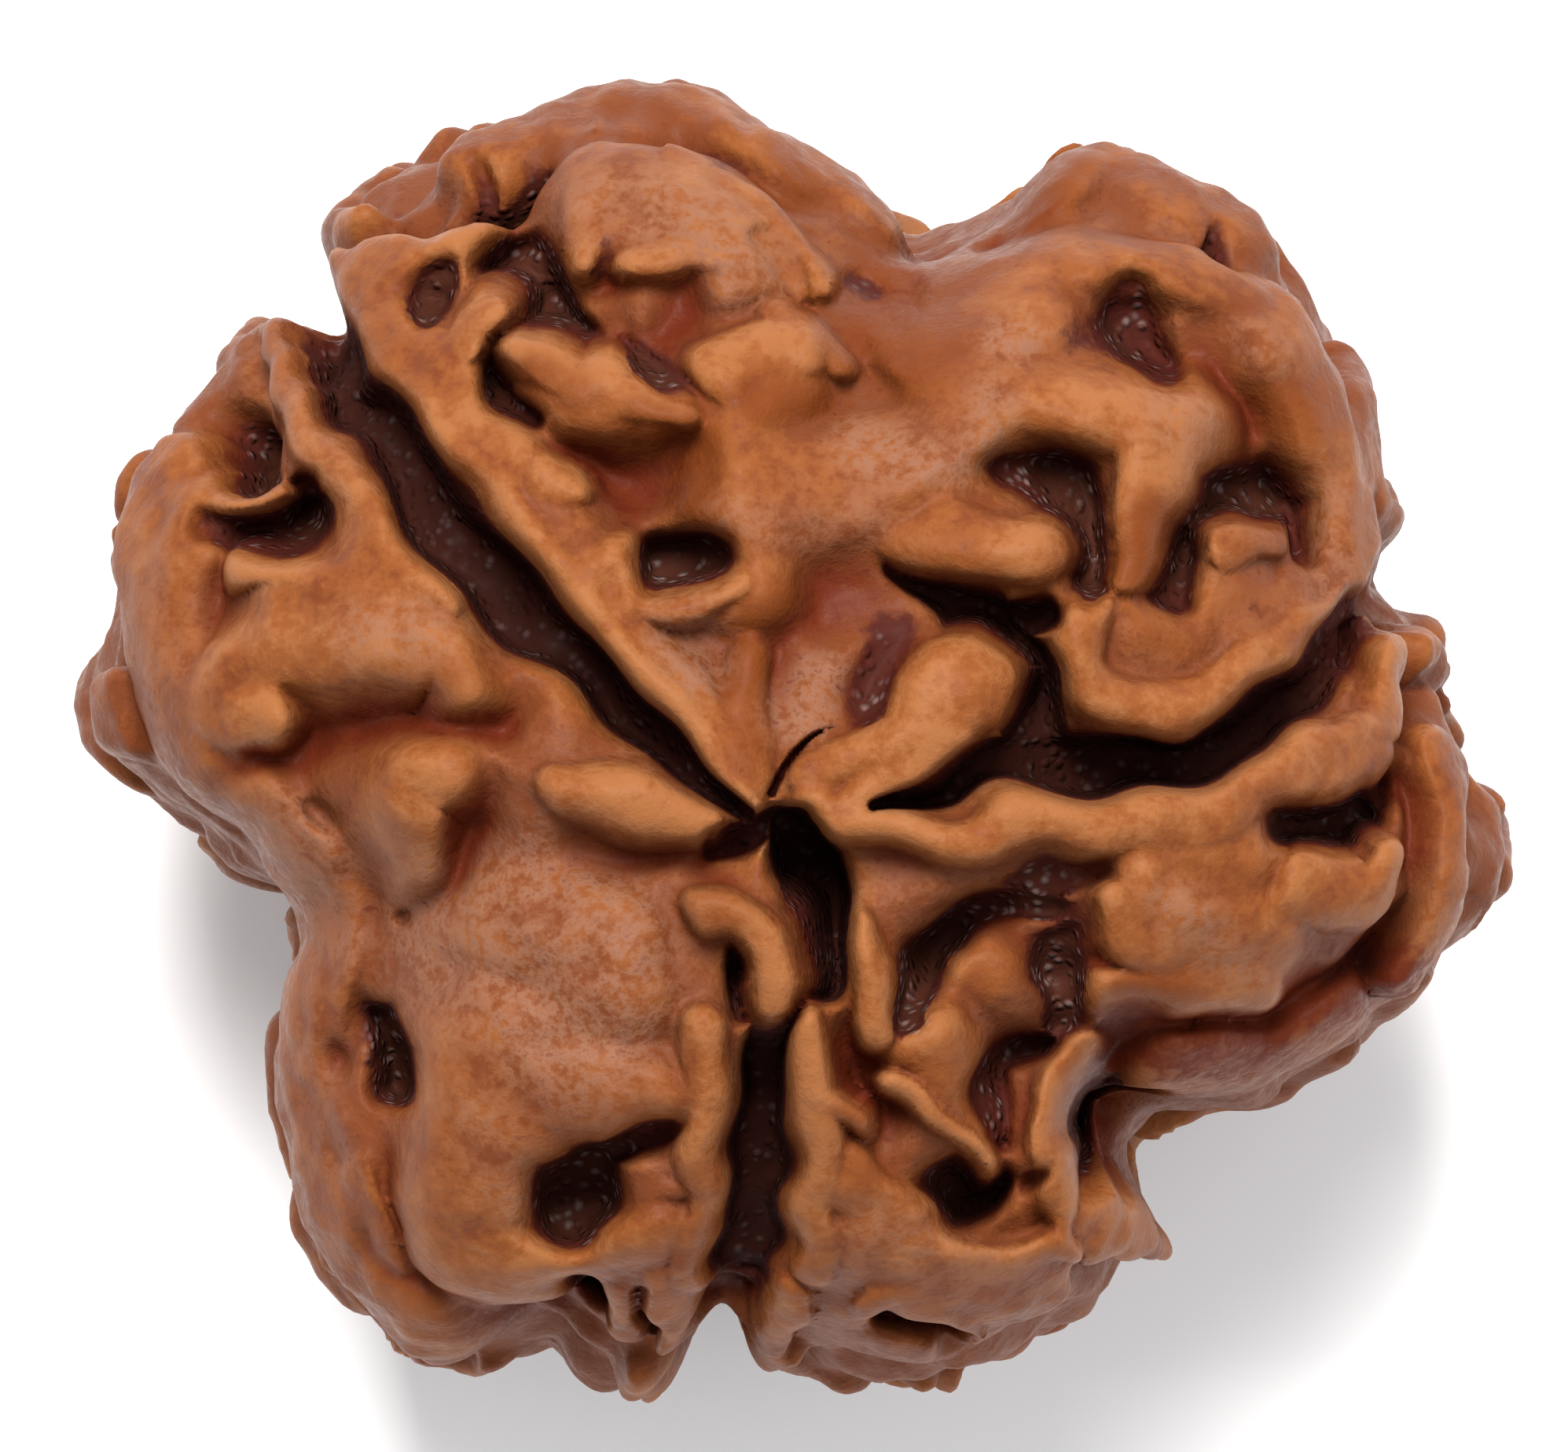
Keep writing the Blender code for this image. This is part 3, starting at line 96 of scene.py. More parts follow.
# Wide soft hollows and valleys.
HOLLOWS = [
    # upper lobe
    ((0.95, 0.75), (0.8, 0.8), [(-2.3, 5.4), (-1.9, 4.7)]),
    (0.5, (0.6, 0.8), [(-2.5, 8.9), (-2.5, 7.9)]),
    (0.6, 0.9, [(-1.2, 8.1), (-1.6, 7.2)]),
    (0.5, 0.7, [(-2.4, 7.3), (-1.4, 6.8)]),
    (0.45, (0.7, 0.5), [(-1.4, 10.25), (-0.5, 9.75)]),
    (0.5, (0.7, 0.9), [(-5.9, 8.9), (-5.0, 9.2), (-4.0, 9.6)]),
    ((0.8, 1.0, 1.2), (0.2, 0.4, 0.3), [(1.5, 6.8), (1.9, 8.0), (2.3, 9.4)]),
    ((0.7, 0.6), (0.6, 0.5), [(5.6, 7.0), (5.3, 7.9)]),
    ((0.4, 0.32, 0.5), (0.7, 0.9, 1.0), [(6.5, 7.0), (6.95, 6.4), (7.1, 5.8)]),
    (0.55, 0.3, [(3.6, 5.8), (4.6, 5.8)]),
    (0.6, 0.6, [(6.6, 5.3), (7.9, 5.4)]),
    ((0.6, 0.55), (0.6, 0.75), [(1.75, 2.75), (1.45, 1.85)]),
    (0.7, (0.5, 0.8, 0.8), [(-0.3, 2.3), (0.5, 3.1), (1.7, 3.35)]),
    (0.5, 0.35, [(6.3, 3.6), (7.4, 3.5)]),
    (0.4, 0.4, [(-0.1, 6.3), (0.4, 6.35)]),
    (0.35, 0.35, [(3.5, 6.8), (3.8, 6.8)]),
    (0.45, 0.5, [(4.3, 7.4), (4.9, 7.3)]),
    (0.4, (0.5, 0.6), [(3.4, 8.9), (4.4, 9.5)]),
    (0.4, 0.5, [(8.0, 4.5), (8.2, 4.1)]),
    # left lobe
    (0.5, (1.0, 0.8), [(-7.8, 0.95), (-6.9, 1.1), (-6.2, 1.5)]),
    (0.45, 0.9, [(-6.2, 1.5), (-5.2, 1.55), (-4.2, 1.35)]),
    (0.6, 0.8, [(-8.5, 4.4), (-7.2, 4.5)]),
    (0.45, (0.6, 0.5), [(-8.35, 3.7), (-8.2, 2.7)]),
    ((0.8, 1.0, 1.2), (0.1, 0.3, 0.4), [(-4.9, -1.7), (-6.3, -1.6), (-7.6, -1.5)]),
    ((0.5, 0.6, 0.5), (0.9, 1.2, 0.8), [(-4.75, 0.6), (-4.7, 0.1), (-4.9, -0.6)]),
    (0.5, 0.7, [(-0.9, -0.5), (-0.5, -0.6)]),
    (0.4, (0.4, 0.6), [(-2.9, -0.45), (-1.3, -0.35)]),
    (0.5, 0.6, [(-6.3, -3.0), (-6.8, -3.5)]),
    (0.35, (0.3, 0.7, 0.9), [(-5.9, -4.7), (-5.9, -5.7), (-5.8, -6.7), (-5.2, -7.6), (-4.3, -7.9)]),
    (0.55, 1.1, [(-4.2, -8.0), (-3.0, -7.6)]),
    # lower right lobe
    ((0.45, 0.55), (0.7, 1.1), [(1.3, -3.1), (1.3, -4.1)]),
    ((0.9, 1.0), (1.0, 1.1), [(2.5, -2.0), (3.3, -1.8), (4.1, -2.2)]),
    (0.6, 0.9, [(4.2, -1.6), (4.3, -3.1)]),
    ((0.5, 0.7, 0.6), (0.4, 0.9, 0.8), [(2.9, -3.3), (3.7, -3.3), (3.5, -4.4)]),
    (0.6, 0.4, [(1.5, -0.7), (2.8, -0.7)]),
    ((0.6, 0.7), (1.4, 1.5), [(7.7, -3.1), (9.4, -2.3)]),
    ((0.6, 0.8), (1.3, 1.4), [(5.2, -3.5), (7.6, -3.3)]),
    ((0.6, 0.8), (1.0, 1.3), [(4.9, -4.6), (5.5, -5.0)]),
    (0.45, 0.9, [(4.9, -6.1), (5.0, -7.0)]),
    (0.5, 0.8, [(9.9, 2.5), (9.6, 1.7)]),
    (0.45, 0.9, [(9.95, -0.5), (9.7, 0.5)]),
]

# Steep pits.
PITS = [
    # upper lobe
    ((0.16, 0.26, 0.24), (0.5, 0.9, 0.7), [(-5.9, 8.85), (-5.3, 9.05), (-4.7, 9.2)]),
    ((0.3, 0.28, 0.18), (0.9, 0.8, 0.5), [(-4.6, 9.35), (-4.1, 9.45), (-3.5, 9.9)]),
    (0.18, 0.5, [(-4.6, 9.4), (-4.5, 9.9)]),
    ((0.32, 0.2), (0.7, 0.8), [(-4.95, 8.15), (-5.25, 7.55)]),
    ((0.5, 0.46, 0.34), (1.5, 2.2, 2.2), [(-3.85, 8.45), (-3.6, 8.0), (-3.35, 7.6), (-3.05, 7.15)]),
    ((0.24, 0.22, 0.16), (1.7, 1.6, 1.0), [(-4.25, 7.35), (-4.1, 6.8), (-3.95, 6.3), (-3.65, 6.0)]),
    (0.26, 0.7, [(-2.3, 6.95), (-1.7, 6.65)]),
    ((0.18, 0.24, 0.16), (0.3, 0.45, 0.4), [(-0.2, 8.75), (0.05, 8.35), (0.3, 7.8)]),
    (0.36, 1.7, [(-1.6, 3.85), (-1.1, 3.9)]),
    ((0.4, 0.6, 0.4), (0.2, 0.4, 0.3), [(-2.8, 5.4), (-2.0, 5.2), (-1.3, 5.3)]),
    ((0.34, 0.52, 0.44), (0.8, 1.1, 0.9), [(5.35, 7.95), (5.5, 7.3), (5.8, 6.85)]),
    ((0.36, 0.52), (1.0, 1.5), [(3.6, 5.15), (4.3, 5.05)]),
    ((0.52, 0.4, 0.32), (1.6, 1.8, 1.6), [(4.3, 5.05), (4.65, 4.4), (4.75, 3.65)]),
    ((0.46, 0.5), (1.8, 1.7), [(6.8, 4.95), (7.6, 4.95)]),
    ((0.36, 0.3, 0.3), (1.8, 1.7, 1.4), [(6.5, 4.8), (6.2, 4.2), (5.95, 3.7), (5.85, 3.4)]),
    (0.26, (1.3, 0.8), [(8.0, 4.8), (8.05, 4.2)]),
    ((0.16, 0.24), 0.6, [(6.75, 8.8), (6.9, 8.5)]),
    (0.24, 0.25, [(1.2, 8.2), (1.45, 8.05)]),
    (0.14, 0.15, [(0.5, 8.8), (0.55, 8.7)]),
    (0.16, 0.15, [(1.5, 6.75), (1.75, 6.5)]),
    # left lobe
    ((0.34, 0.42, 0.36), (1.5, 2.0, 1.6), [(-8.35, 6.1), (-8.1, 5.7), (-7.9, 5.25)]),
    ((0.26, 0.3, 0.36), (0.5, 0.8, 1.6), [(-8.6, 4.35), (-7.7, 4.3), (-6.95, 4.5)]),
    (0.2, (1.0, 0.7), [(-6.95, 4.7), (-7.1, 5.1)]),
    (0.2, 0.25, [(-6.85, 0.2), (-6.65, 0.1)]),
    (0.14, 0.3, [(-5.5, -1.5), (-5.45, -1.45)]),
    ((0.26, 0.4, 0.36), (1.0, 1.8, 2.0), [(-5.9, -3.0), (-5.75, -3.5), (-5.7, -4.0)]),
    ((0.44, 0.54, 0.46), (2.0, 2.2, 2.0), [(-2.75, -5.15), (-2.95, -5.5), (-3.1, -5.85)]),
    ((0.3, 0.24), (1.7, 1.0), [(-2.6, -5.0), (-2.0, -4.8), (-1.6, -4.8)]),
    (0.17, 1.4, [(-0.5, -2.0), (-0.45, -2.8)]),
    ((0.28, 0.34), 1.5, [(-2.9, -7.2), (-2.85, -7.6)]),
    (0.13, 0.6, [(-1.95, -7.1), (-1.98, -8.0)]),
    # lower right lobe
    ((0.16, 0.28, 0.3, 0.26, 0.2), (0.6, 1.3, 1.6, 0.9, 0.5),
     [(2.05, -3.0), (2.1, -2.4), (2.3, -1.9), (2.9, -1.5), (3.6, -1.25), (4.1, -1.2)]),
    ((0.2, 0.24, 0.2), (0.4, 0.4, 0.3), [(3.6, -1.0), (4.2, -0.8), (4.8, -0.6)]),
    ((0.26, 0.3, 0.22), (0.5, 0.8, 0.5), [(4.25, -1.8), (4.3, -2.4), (4.25, -2.9)]),
    ((0.26, 0.3, 0.3, 0.22), (0.9, 1.3, 0.9), [(4.0, -3.4), (3.45, -3.6), (3.3, -4.1), (3.35, -4.7)]),
    ((0.36, 0.38, 0.3), (2.2, 2.2, 1.8), [(7.85, -0.1), (8.5, 0.0), (9.0, 0.2)]),
    (0.22, (1.6, 0.9), [(9.0, 0.2), (9.35, 0.5)]),
    ((0.46, 0.58, 0.4), (2.2, 2.3, 1.6), [(4.85, -4.5), (5.1, -4.8), (5.0, -5.4)]),
    ((0.42, 0.32), (1.8, 1.2), [(5.2, -4.4), (5.8, -4.5)]),
    ((0.4, 0.44, 0.4), (2.2, 2.2, 2.0), [(2.65, -5.5), (2.95, -5.6), (3.2, -5.55)]),
    (0.17, 0.6, [(3.75, -5.5), (3.85, -5.5)]),
    (0.2, 1.1, [(4.75, -6.2), (4.8, -7.0)]),
    (0.24, (1.2, 1.0), [(1.8, -7.65), (2.3, -7.8), (2.8, -8.1)]),
    (0.16, 0.5, [(10.6, -1.1), (10.65, -1.2)]),
]

# Raised ridges, knobs and the crests of broad masses.
RIDGES = [
    # upper lobe: the bank along cleft A and its beak at the pole
    ((0.8, 0.75, 0.6, 0.45), (0.15, 0.05, 0.1),
     [(-6.2, 8.0), (-5.3, 6.9), (-4.6, 5.8), (-3.8, 4.8), (-3.0, 3.8), (-2.1, 2.7), (-1.2, 1.5),
      (-0.6, 0.8)]),
    ((0.4, 0.34, 0.3, 0.18), (0.2, 0.3, 0.25),
     [(-6.5, 8.2), (-6.0, 7.0), (-5.2, 6.0), (-4.4, 5.0), (-3.7, 4.2), (-2.9, 3.3), (-2.1, 2.4),
      (-1.3, 1.4), (-0.6, 0.55), (-0.35, 0.25)]),
    ((0.5, 0.3), (-0.3, 0.1), [(-0.5, 2.2), (-0.4, 1.3), (-0.4, 0.6)]),
    (0.32, (0.2, 0.1), [(-3.5, 5.1), (-3.1, 5.0)]),
    ((0.34, 0.3, 0.24), (0.2, 0.15, 0.1), [(-2.75, 3.75), (-2.3, 3.9), (-2.1, 3.5), (-2.1, 3.2)]),
    (0.3, (0.1, 0.15), [(-1.9, 3.3), (-1.3, 3.25), (-0.7, 3.5)]),
    # knobs beside the deep upper pits
    ((0.6, 0.5), (0.15, 0.0), [(-5.0, 8.5), (-6.0, 8.3)]),
    (0.45, (0.1, 0.2), [(-4.6, 8.75), (-5.4, 8.5), (-6.0, 8.3)]),
    (0.14, (0.1, 0.1, 0.0),
     [(-1.6, 10.05), (-0.9, 9.75), (-0.3, 9.45), (0.05, 9.0), (0.35, 8.5), (0.7, 8.1)]),
    (0.56, (0.2, 0.1), [(-3.0, 6.4), (-2.4, 6.35), (-1.8, 6.15)]),
    # the big hump
    ((1.0, 0.8), (0.1, 0.0), [(-2.4, 9.3), (-1.3, 9.1), (-0.5, 8.5)]),
    ((0.3, 0.56, 0.56, 0.34), (0.0, 0.2, 0.2, 0.05),
     [(-2.95, 8.4), (-2.8, 9.3), (-2.4, 9.85), (-1.7, 9.6), (-0.8, 9.2), (-0.1, 8.7), (0.3, 8.2)]),
    ((0.34, 0.34), (0.1, 0.1), [(-2.0, 8.3), (-1.4, 8.55), (-0.7, 8.55)]),
    (0.45, (0.1, 0.2), [(-0.8, 6.7), (-0.1, 7.0), (0.35, 7.05)]),
    (0.3, -0.1, [(0.1, 7.6), (0.5, 7.3), (0.9, 6.9)]),
    (0.6, 0.0, [(-4.6, 10.2), (-2.9, 10.95), (-1.2, 10.9), (0.0, 10.2)]),
    # the rim round the right sub-lobe
    ((0.5, 0.56, 0.6), (-0.5, -0.1, 0.15),
     [(2.6, 7.9), (3.3, 8.1), (4.3, 8.4), (5.3, 8.4), (6.4, 8.2), (7.3, 7.8), (7.8, 7.2)]),
    ((0.65, 0.55), (0.25, 0.05), [(7.7, 7.2), (8.25, 6.3), (8.6, 5.4), (8.9, 4.2), (8.9, 3.7)]),
    (0.7, 0.05, [(4.4, 9.8), (5.2, 9.95), (6.3, 9.5), (7.2, 9.0)]),
    (0.6, 0.0, [(0.2, 10.1), (0.9, 9.9), (1.5, 9.4)]),
    (0.5, 0.0, [(8.9, 7.1), (9.0, 6.2), (9.2, 5.2)]),
    (0.9, -0.1, [(2.4, 6.9), (3.8, 7.5)]),
    # the T shaped ridge
    ((0.6, 0.62, 0.5), (0.0, 0.25, 0.35), [(3.8, 6.4), (4.8, 6.15), (5.6, 5.98), (6.2, 5.95)]),
    # the plateau
    (1.0, -0.05, [(-0.2, 4.8), (1.0, 5.0), (2.4, 5.4), (3.0, 6.2)]),
    (0.8, (-0.1, 0.0), [(-0.4, 3.4), (-0.5, 5.8), (0.0, 6.4)]),
    # the thin edges of the bone shaped ridge
    ((0.24, 0.24, 0.26), (0.1, 0.15, 0.2),
     [(0.45, 0.35), (0.9, 0.15), (1.5, 0.45), (2.1, 0.85), (2.7, 1.25)]),
    ((0.3, 0.42, 0.5), (0.0, 0.1, 0.2), [(0.45, 0.75), (1.2, 0.9), (2.0, 1.2)]),
    (0.56, -0.15, [(0.75, 0.5), (1.4, 0.7), (2.1, 1.2)]),
    # the curl ridge above cleft B
    ((0.38, 0.46, 0.46, 0.42, 0.34), (0.4, 0.25, 0.2),
     [(4.75, 3.15), (4.5, 2.6), (4.5, 2.2), (4.85, 1.85), (5.4, 1.7), (6.1, 1.72), (6.9, 2.02),
      (7.5, 2.45), (8.1, 2.85), (8.8, 3.4)]),
    (0.5, -0.15, [(6.9, 2.7), (7.7, 3.2), (8.4, 3.8)]),
    (0.9, -0.2, [(5.7, 2.9), (6.8, 3.3)]),
    # left lobe: the rim along cleft A and the ridges behind it
    ((0.3, 0.34), 0.15, [(-7.5, 7.4), (-7.3, 6.4), (-6.9, 5.7), (-6.5, 5.1), (-6.3, 4.5), (-6.2, 3.9)]),
    (0.3, (0.1, 0.2), [(-6.8, 5.5), (-6.2, 4.9), (-5.9, 4.3), (-5.5, 3.8), (-4.9, 3.3)]),
    ((0.6, 0.75, 0.65, 0.4), (0.1, 0.3, 0.35),
     [(-8.0, 2.3), (-7.2, 2.6), (-6.2, 2.75), (-5.4, 2.6), (-4.9, 2.5), (-4.6, 2.05)]),
    (0.6, (0.1, 0.15), [(-7.3, 3.4), (-6.2, 3.5), (-5.5, 3.4)]),
    (0.52, 0.2, [(-8.3, 2.2), (-8.3, 1.7), (-7.6, 1.6)]),
    (0.28, (0.25, 0.15), [(-7.9, 3.8), (-7.4, 3.85), (-6.8, 3.7), (-6.2, 3.6)]),
    (0.28, (0.0, -0.1), [(-8.2, 4.8), (-7.5, 4.85)]),
    ((1.0, 0.8), (0.05, 0.0), [(-9.0, 4.6), (-9.4, 3.2), (-9.0, 1.8), (-8.6, 0.8)]),
    (0.4, (0.15, 0.05), [(-9.0, 5.6), (-9.5, 4.8), (-9.8, 3.8)]),
    (0.55, 0.0, [(-8.8, 6.2), (-8.2, 7.0), (-7.7, 7.6)]),
    (0.45, 0.0, [(-10.1, 1.9), (-10.0, 1.2)]),
    (0.6, (-0.2, -0.3), [(-7.8, 0.2), (-7.0, -0.7)]),
    # hooded knob and its neighbour
    ((0.36, 0.56, 0.44), (0.1, 0.35, 0.25), [(-5.5, -0.7), (-5.5, 0.05), (-5.4, 0.55), (-4.95, 0.75)]),
    ((0.5, 0.5, 0.4, 0.22), (0.3, 0.35, 0.1),
     [(-3.1, 0.45), (-2.6, 0.45), (-2.0, 0.3), (-1.5, 0.1), (-1.0, -0.05)]),
    (1.0, -0.05, [(-4.2, -1.6), (-3.0, -1.6), (-2.4, -2.6)]),
    # left lobe, lower half
    ((0.3, 0.28), (0.15, 0.2, 0.1),
     [(-1.05, -2.95), (-1.05, -4.0), (-1.0, -5.0), (-1.05, -5.8), (-1.15, -6.4), (-1.2, -7.0)]),
    (0.7, (0.05, 0.15), [(-3.2, -3.9), (-2.4, -4.1), (-1.8, -4.2)]),
    ((1.0, 0.9), (0.05, 0.1), [(-4.3, -3.2), (-4.3, -4.6), (-4.4, -5.8)]),
    ((0.4, 0.6, 0.6, 0.4), (0.0, 0.15, 0.15, 0.1),
     [(-4.85, -3.2), (-4.85, -4.2), (-4.95, -5.0), (-5.0, -5.8), (-4.9, -6.4), (-4.4, -6.75),
      (-3.8, -6.65), (-3.1, -6.35), (-2.4, -6.2), (-1.7, -6.25)]),
    (0.2, -0.25, [(-6.4, -5.3), (-6.1, -6.0), (-5.75, -6.8)]),
    (0.9, 0.0, [(-7.2, -0.8), (-6.9, -1.7), (-7.1, -2.7)]),
    (0.7, 0.0, [(-7.2, -2.4), (-7.35, -3.4), (-7.3, -4.6), (-7.0, -5.8), (-6.3, -7.0), (-5.2, -8.0)]),
    (0.3, -0.5, [(-2.3, -7.1), (-2.35, -8.0)]),
    (0.36, -0.1, [(-1.6, -6.9), (-1.6, -7.9)]),
    # lower right lobe: the rim along cleft B
    ((0.26, 0.4, 0.42, 0.38), (0.15, 0.25, 0.2),
     [(0.9, -0.1), (1.8, -0.15), (2.7, -0.25), (3.6, -0.05), (4.5, 0.02), (5.3, 0.05), (6.2, 0.02),
      (7.0, 0.3), (7.6, 0.75), (8.2, 1.1), (8.8, 1.3)]),
    (0.6, 0.0, [(5.6, -0.5), (6.6, -0.5), (7.2, -0.4)]),
    (0.42, 0.1, [(8.0, 0.8), (8.9, 0.9)]),
    (0.28, (0.15, 0.1), [(9.3, 3.0), (9.3, 2.2), (9.1, 1.3)]),
    ((0.9, 0.95), (0.15, 0.1), [(5.7, -1.35), (6.4, -1.6), (7.2, -1.6)]),
    (0.3, (0.2, 0.1), [(5.0, -1.2), (5.2, -1.8), (5.9, -2.0)]),
    (0.34, 0.0, [(4.9, -2.5), (5.7, -2.45), (6.6, -2.5), (7.4, -2.4)]),
    (0.36, (0.05, 0.0), [(10.1, 1.2), (10.3, 0.3), (10.3, -0.7), (10.1, -1.6), (9.6, -2.4)]),
    (0.8, -0.25, [(6.2, -3.9), (7.6, -3.8), (8.8, -3.2)]),
    # beside the hole and cleft C
    ((0.24, 0.28, 0.24), (0.1, 0.15, 0.1), [(1.25, -1.5), (1.35, -2.1), (1.5, -2.7), (1.65, -3.1)]),
    (0.62, (-0.85, -0.7), [(2.9, -2.3), (3.4, -2.45)]),
    (0.56, (-0.15, -0.4), [(2.3, -3.4), (2.7, -4.0), (3.0, -4.5)]),
    ((0.26, 0.32), (0.25, 0.15), [(0.35, -3.1), (0.55, -3.7), (0.6, -4.6), (0.6, -5.6), (0.65, -6.6)]),
    ((0.24, 0.16), (0.2, 0.1), [(0.7, -4.2), (1.2, -4.6)]),
    ((0.22, 0.3, 0.3), (-0.5, -0.1, 0.1),
     [(4.6, -3.4), (4.2, -4.2), (4.15, -5.2), (4.35, -5.9), (4.6, -6.5)]),
    (0.5, 0.0, [(1.1, -5.4), (1.9, -6.0), (2.2, -6.8)]),
    (0.3, (0.1, 0.25), [(2.3, -6.3), (2.9, -6.6), (3.5, -6.7), (4.1, -6.5), (4.6, -6.4)]),
    (0.8, 0.05, [(1.4, -6.4), (2.8, -7.0), (4.0, -7.1)]),
    (0.3, (0.0, 0.0), [(1.4, -7.3), (2.0, -7.25), (2.5, -7.55), (2.9, -7.9)]),
    (0.32, 0.05, [(0.3, -7.1), (0.0, -7.8), (-0.2, -8.2)]),
]

# Fins, teeth and knobs that stand in the pits or reach over them.
FINS = [
    # the fin and the finger knob in the upper lobe
    ((0.18, 0.34, 0.34, 0.3, 0.2), (0.45, 0.35, 0.25),
     [(-3.85, 7.1), (-3.4, 6.85), (-3.0, 6.55), (-2.55, 6.65), (-2.2, 6.4), (-1.8, 6.15), (-1.4, 6.0)]),
    ((0.26, 0.26), (0.3, 0.15), [(-4.2, 7.8), (-4.55, 7.4), (-4.7, 6.9)]),
    # the stem of the T shaped ridge, and the tooth beside it
    ((0.7, 0.55, 0.4, 0.26), (0.35, 0.3, 0.1), [(5.75, 5.7), (5.65, 5.0), (5.45, 4.3), (5.3, 3.6)]),
    ((0.2, 0.22, 0.24), (-0.1, 0.0, -0.1), [(7.5, 4.15), (7.1, 4.2), (6.75, 4.05)]),
    # the tongue
    ((0.4, 0.5, 0.5), (-0.5, 0.05, 0.35), [(1.7, 4.35), (2.6, 4.2), (3.3, 4.05), (3.9, 4.0)]),
    # the head of the bone shaped ridge
    ((0.36, 0.62, 0.84), (0.1, 0.25, 0.28), [(1.6, 0.85), (2.2, 1.35), (2.85, 1.98)]),
    # the hook by the hole
    ((0.34, 0.28, 0.22), (0.15, 0.3, 0.2),
     [(-1.1, -1.45), (-0.6, -1.4), (-0.1, -1.7), (0.1, -2.2), (-0.05, -2.8)]),
    # nub in the pit of the lower left
    (0.17, (-0.2, -0.5), [(-1.5, -5.5), (-2.1, -5.6)]),
    # finger knob, spike and fin of the lower right
    ((0.5, 0.6, 0.54, 0.38), (0.2, 0.3), [(7.9, -1.05), (8.6, -1.15), (9.0, -1.1), (9.2, -0.6)]),
    ((0.16, 0.14, 0.1), (-0.05, 0.05, 0.1), [(1.75, -3.95), (2.25, -4.2), (2.7, -4.6), (3.15, -5.1)]),
    ((0.6, 0.46, 0.2), (0.0, 0.0), [(5.0, -6.3), (5.4, -6.4), (6.0, -6.5)]),
]

# Seeded growth on the flanks, where the plan above shows nothing.
FLANK_SEED = 7
FLANK_RIDGES = 110
FLANK_PITS = 90
FLANK_TOP = 0.0              # the highest the flank growth starts, from the bead's middle
FLANK_BOTTOM = -6.0
FLANK_STEP = 0.75
FLANK_SPACING = 1.15         # the nearest that two of them start to each other
FLANK_RIDGE_WIDTHS = (0.32, 0.7)
FLANK_RIDGE_LEVELS = (-0.3, 0.05)
FLANK_RIDGE_STEPS = (2, 5)
FLANK_PIT_WIDTHS = (0.22, 0.46)
FLANK_PIT_DEPTHS = (0.7, 1.8)
FLANK_PIT_STEPS = (1, 2)
FLANK_PIT_DROP = 1.2         # how much lower the flank pits start than the flank ridges
FLANK_TRIES = 6              # places tried for each flank stroke
FLANK_HEADING = 0.6          # how far, in radians, a flank stroke sets out off the pole to pole line
FLANK_TURNING = 0.35         # and how far it turns at each step
FLANK_TURNS = 6              # turns drawn for each, at least one for every step
FLANK_TAPER = 0.85           # share of its width that it ends with
CLEFT_CLEARANCE = 8          # degrees kept free beside a cleft where a flank stroke starts
CLEFT_APPROACH = 6           # and where it ends

# The clefts on the flanks.
CLEFT_REACH = 2.6            # how far they run above and below the middle of the bead
CLEFT_STEPS = 9
CLEFT_SWAY = 2.0             # how far they sway, in degrees, and how quickly
CLEFT_SWAY_SPEED = 0.9
CLEFT_PHASES = ((CLEFT_A, 0.3), (CLEFT_C, 2.1), (CLEFT_B, 4.0))
CLEFT_WIDTH = 0.55
CLEFT_DEPTH = 0.45
CLEFT_RIM_WIDTH = 0.36
CLEFT_RIM_LEVEL = 0.0
CLEFT_RIM_OFFSET = 6.5       # degrees from a cleft to its rims

# How strokes become relief.
SWELL = 0.13                 # slow undulation of the plain surface, and its length
SWELL_LENGTH = 3.4
RIPPLE = 0.06                # quicker undulation, and its length
RIPPLE_LENGTH = 1.5
SKIN = 0.02                  # the finest undulation, and its length
SKIN_LENGTH = 0.7
WANDER = 0.07                # how far strokes stray from their drawn lines, and over what length
WANDER_LENGTH = 1.6
HOLLOW_SHARPNESS = 2.6       # how steeply a hollow's sides fall, and a pit's and a cleft's
PIT_SHARPNESS = 5.5
CLEFT_SHARPNESS = 9
HOLLOW_FILLET = 0.25         # millimetres over which neighbours run together
PIT_FILLET = 0.2
BROAD_RIDGE = 0.55           # half width from which a ridge counts as broad
BROAD_FILLET = 0.5
FLANK_FILLET = 0.35
RIDGE_FILLET = 0.22
FIN_FILLET = 0.15
SOFT_WALL = 2.4              # slope of the sides of broad ridges
RIDGE_WALL = 4.5
FIN_WALL = 6
EDGE_BAND = 3.5              # how far above and below the middle the outline's detail fades
PLAN_SQUASH = 0.3            # how little height counts in the distance from a stroke of the plan
HALVES_APART = 1.0           # how far apart that distance keeps the upper and the lower strokes
HALVES_BLEND = 1.2
LEAN_POWER = 14              # how late the growth leans out towards the bead's widest part
SHOULDER = 0.92              # share of a ridge's half width at which its round back turns into its wall
BRIM = 0.9995                # the farthest out, as a share of the outline, that plan strokes are lifted
CUT_REACH = 3                # half widths from a stroke at which its cut ends
FOOT_REACH = 3.5             # millimetres of fall over which a ridge's wall is followed
TINY = 1e-9                  # keeps divisions from zero
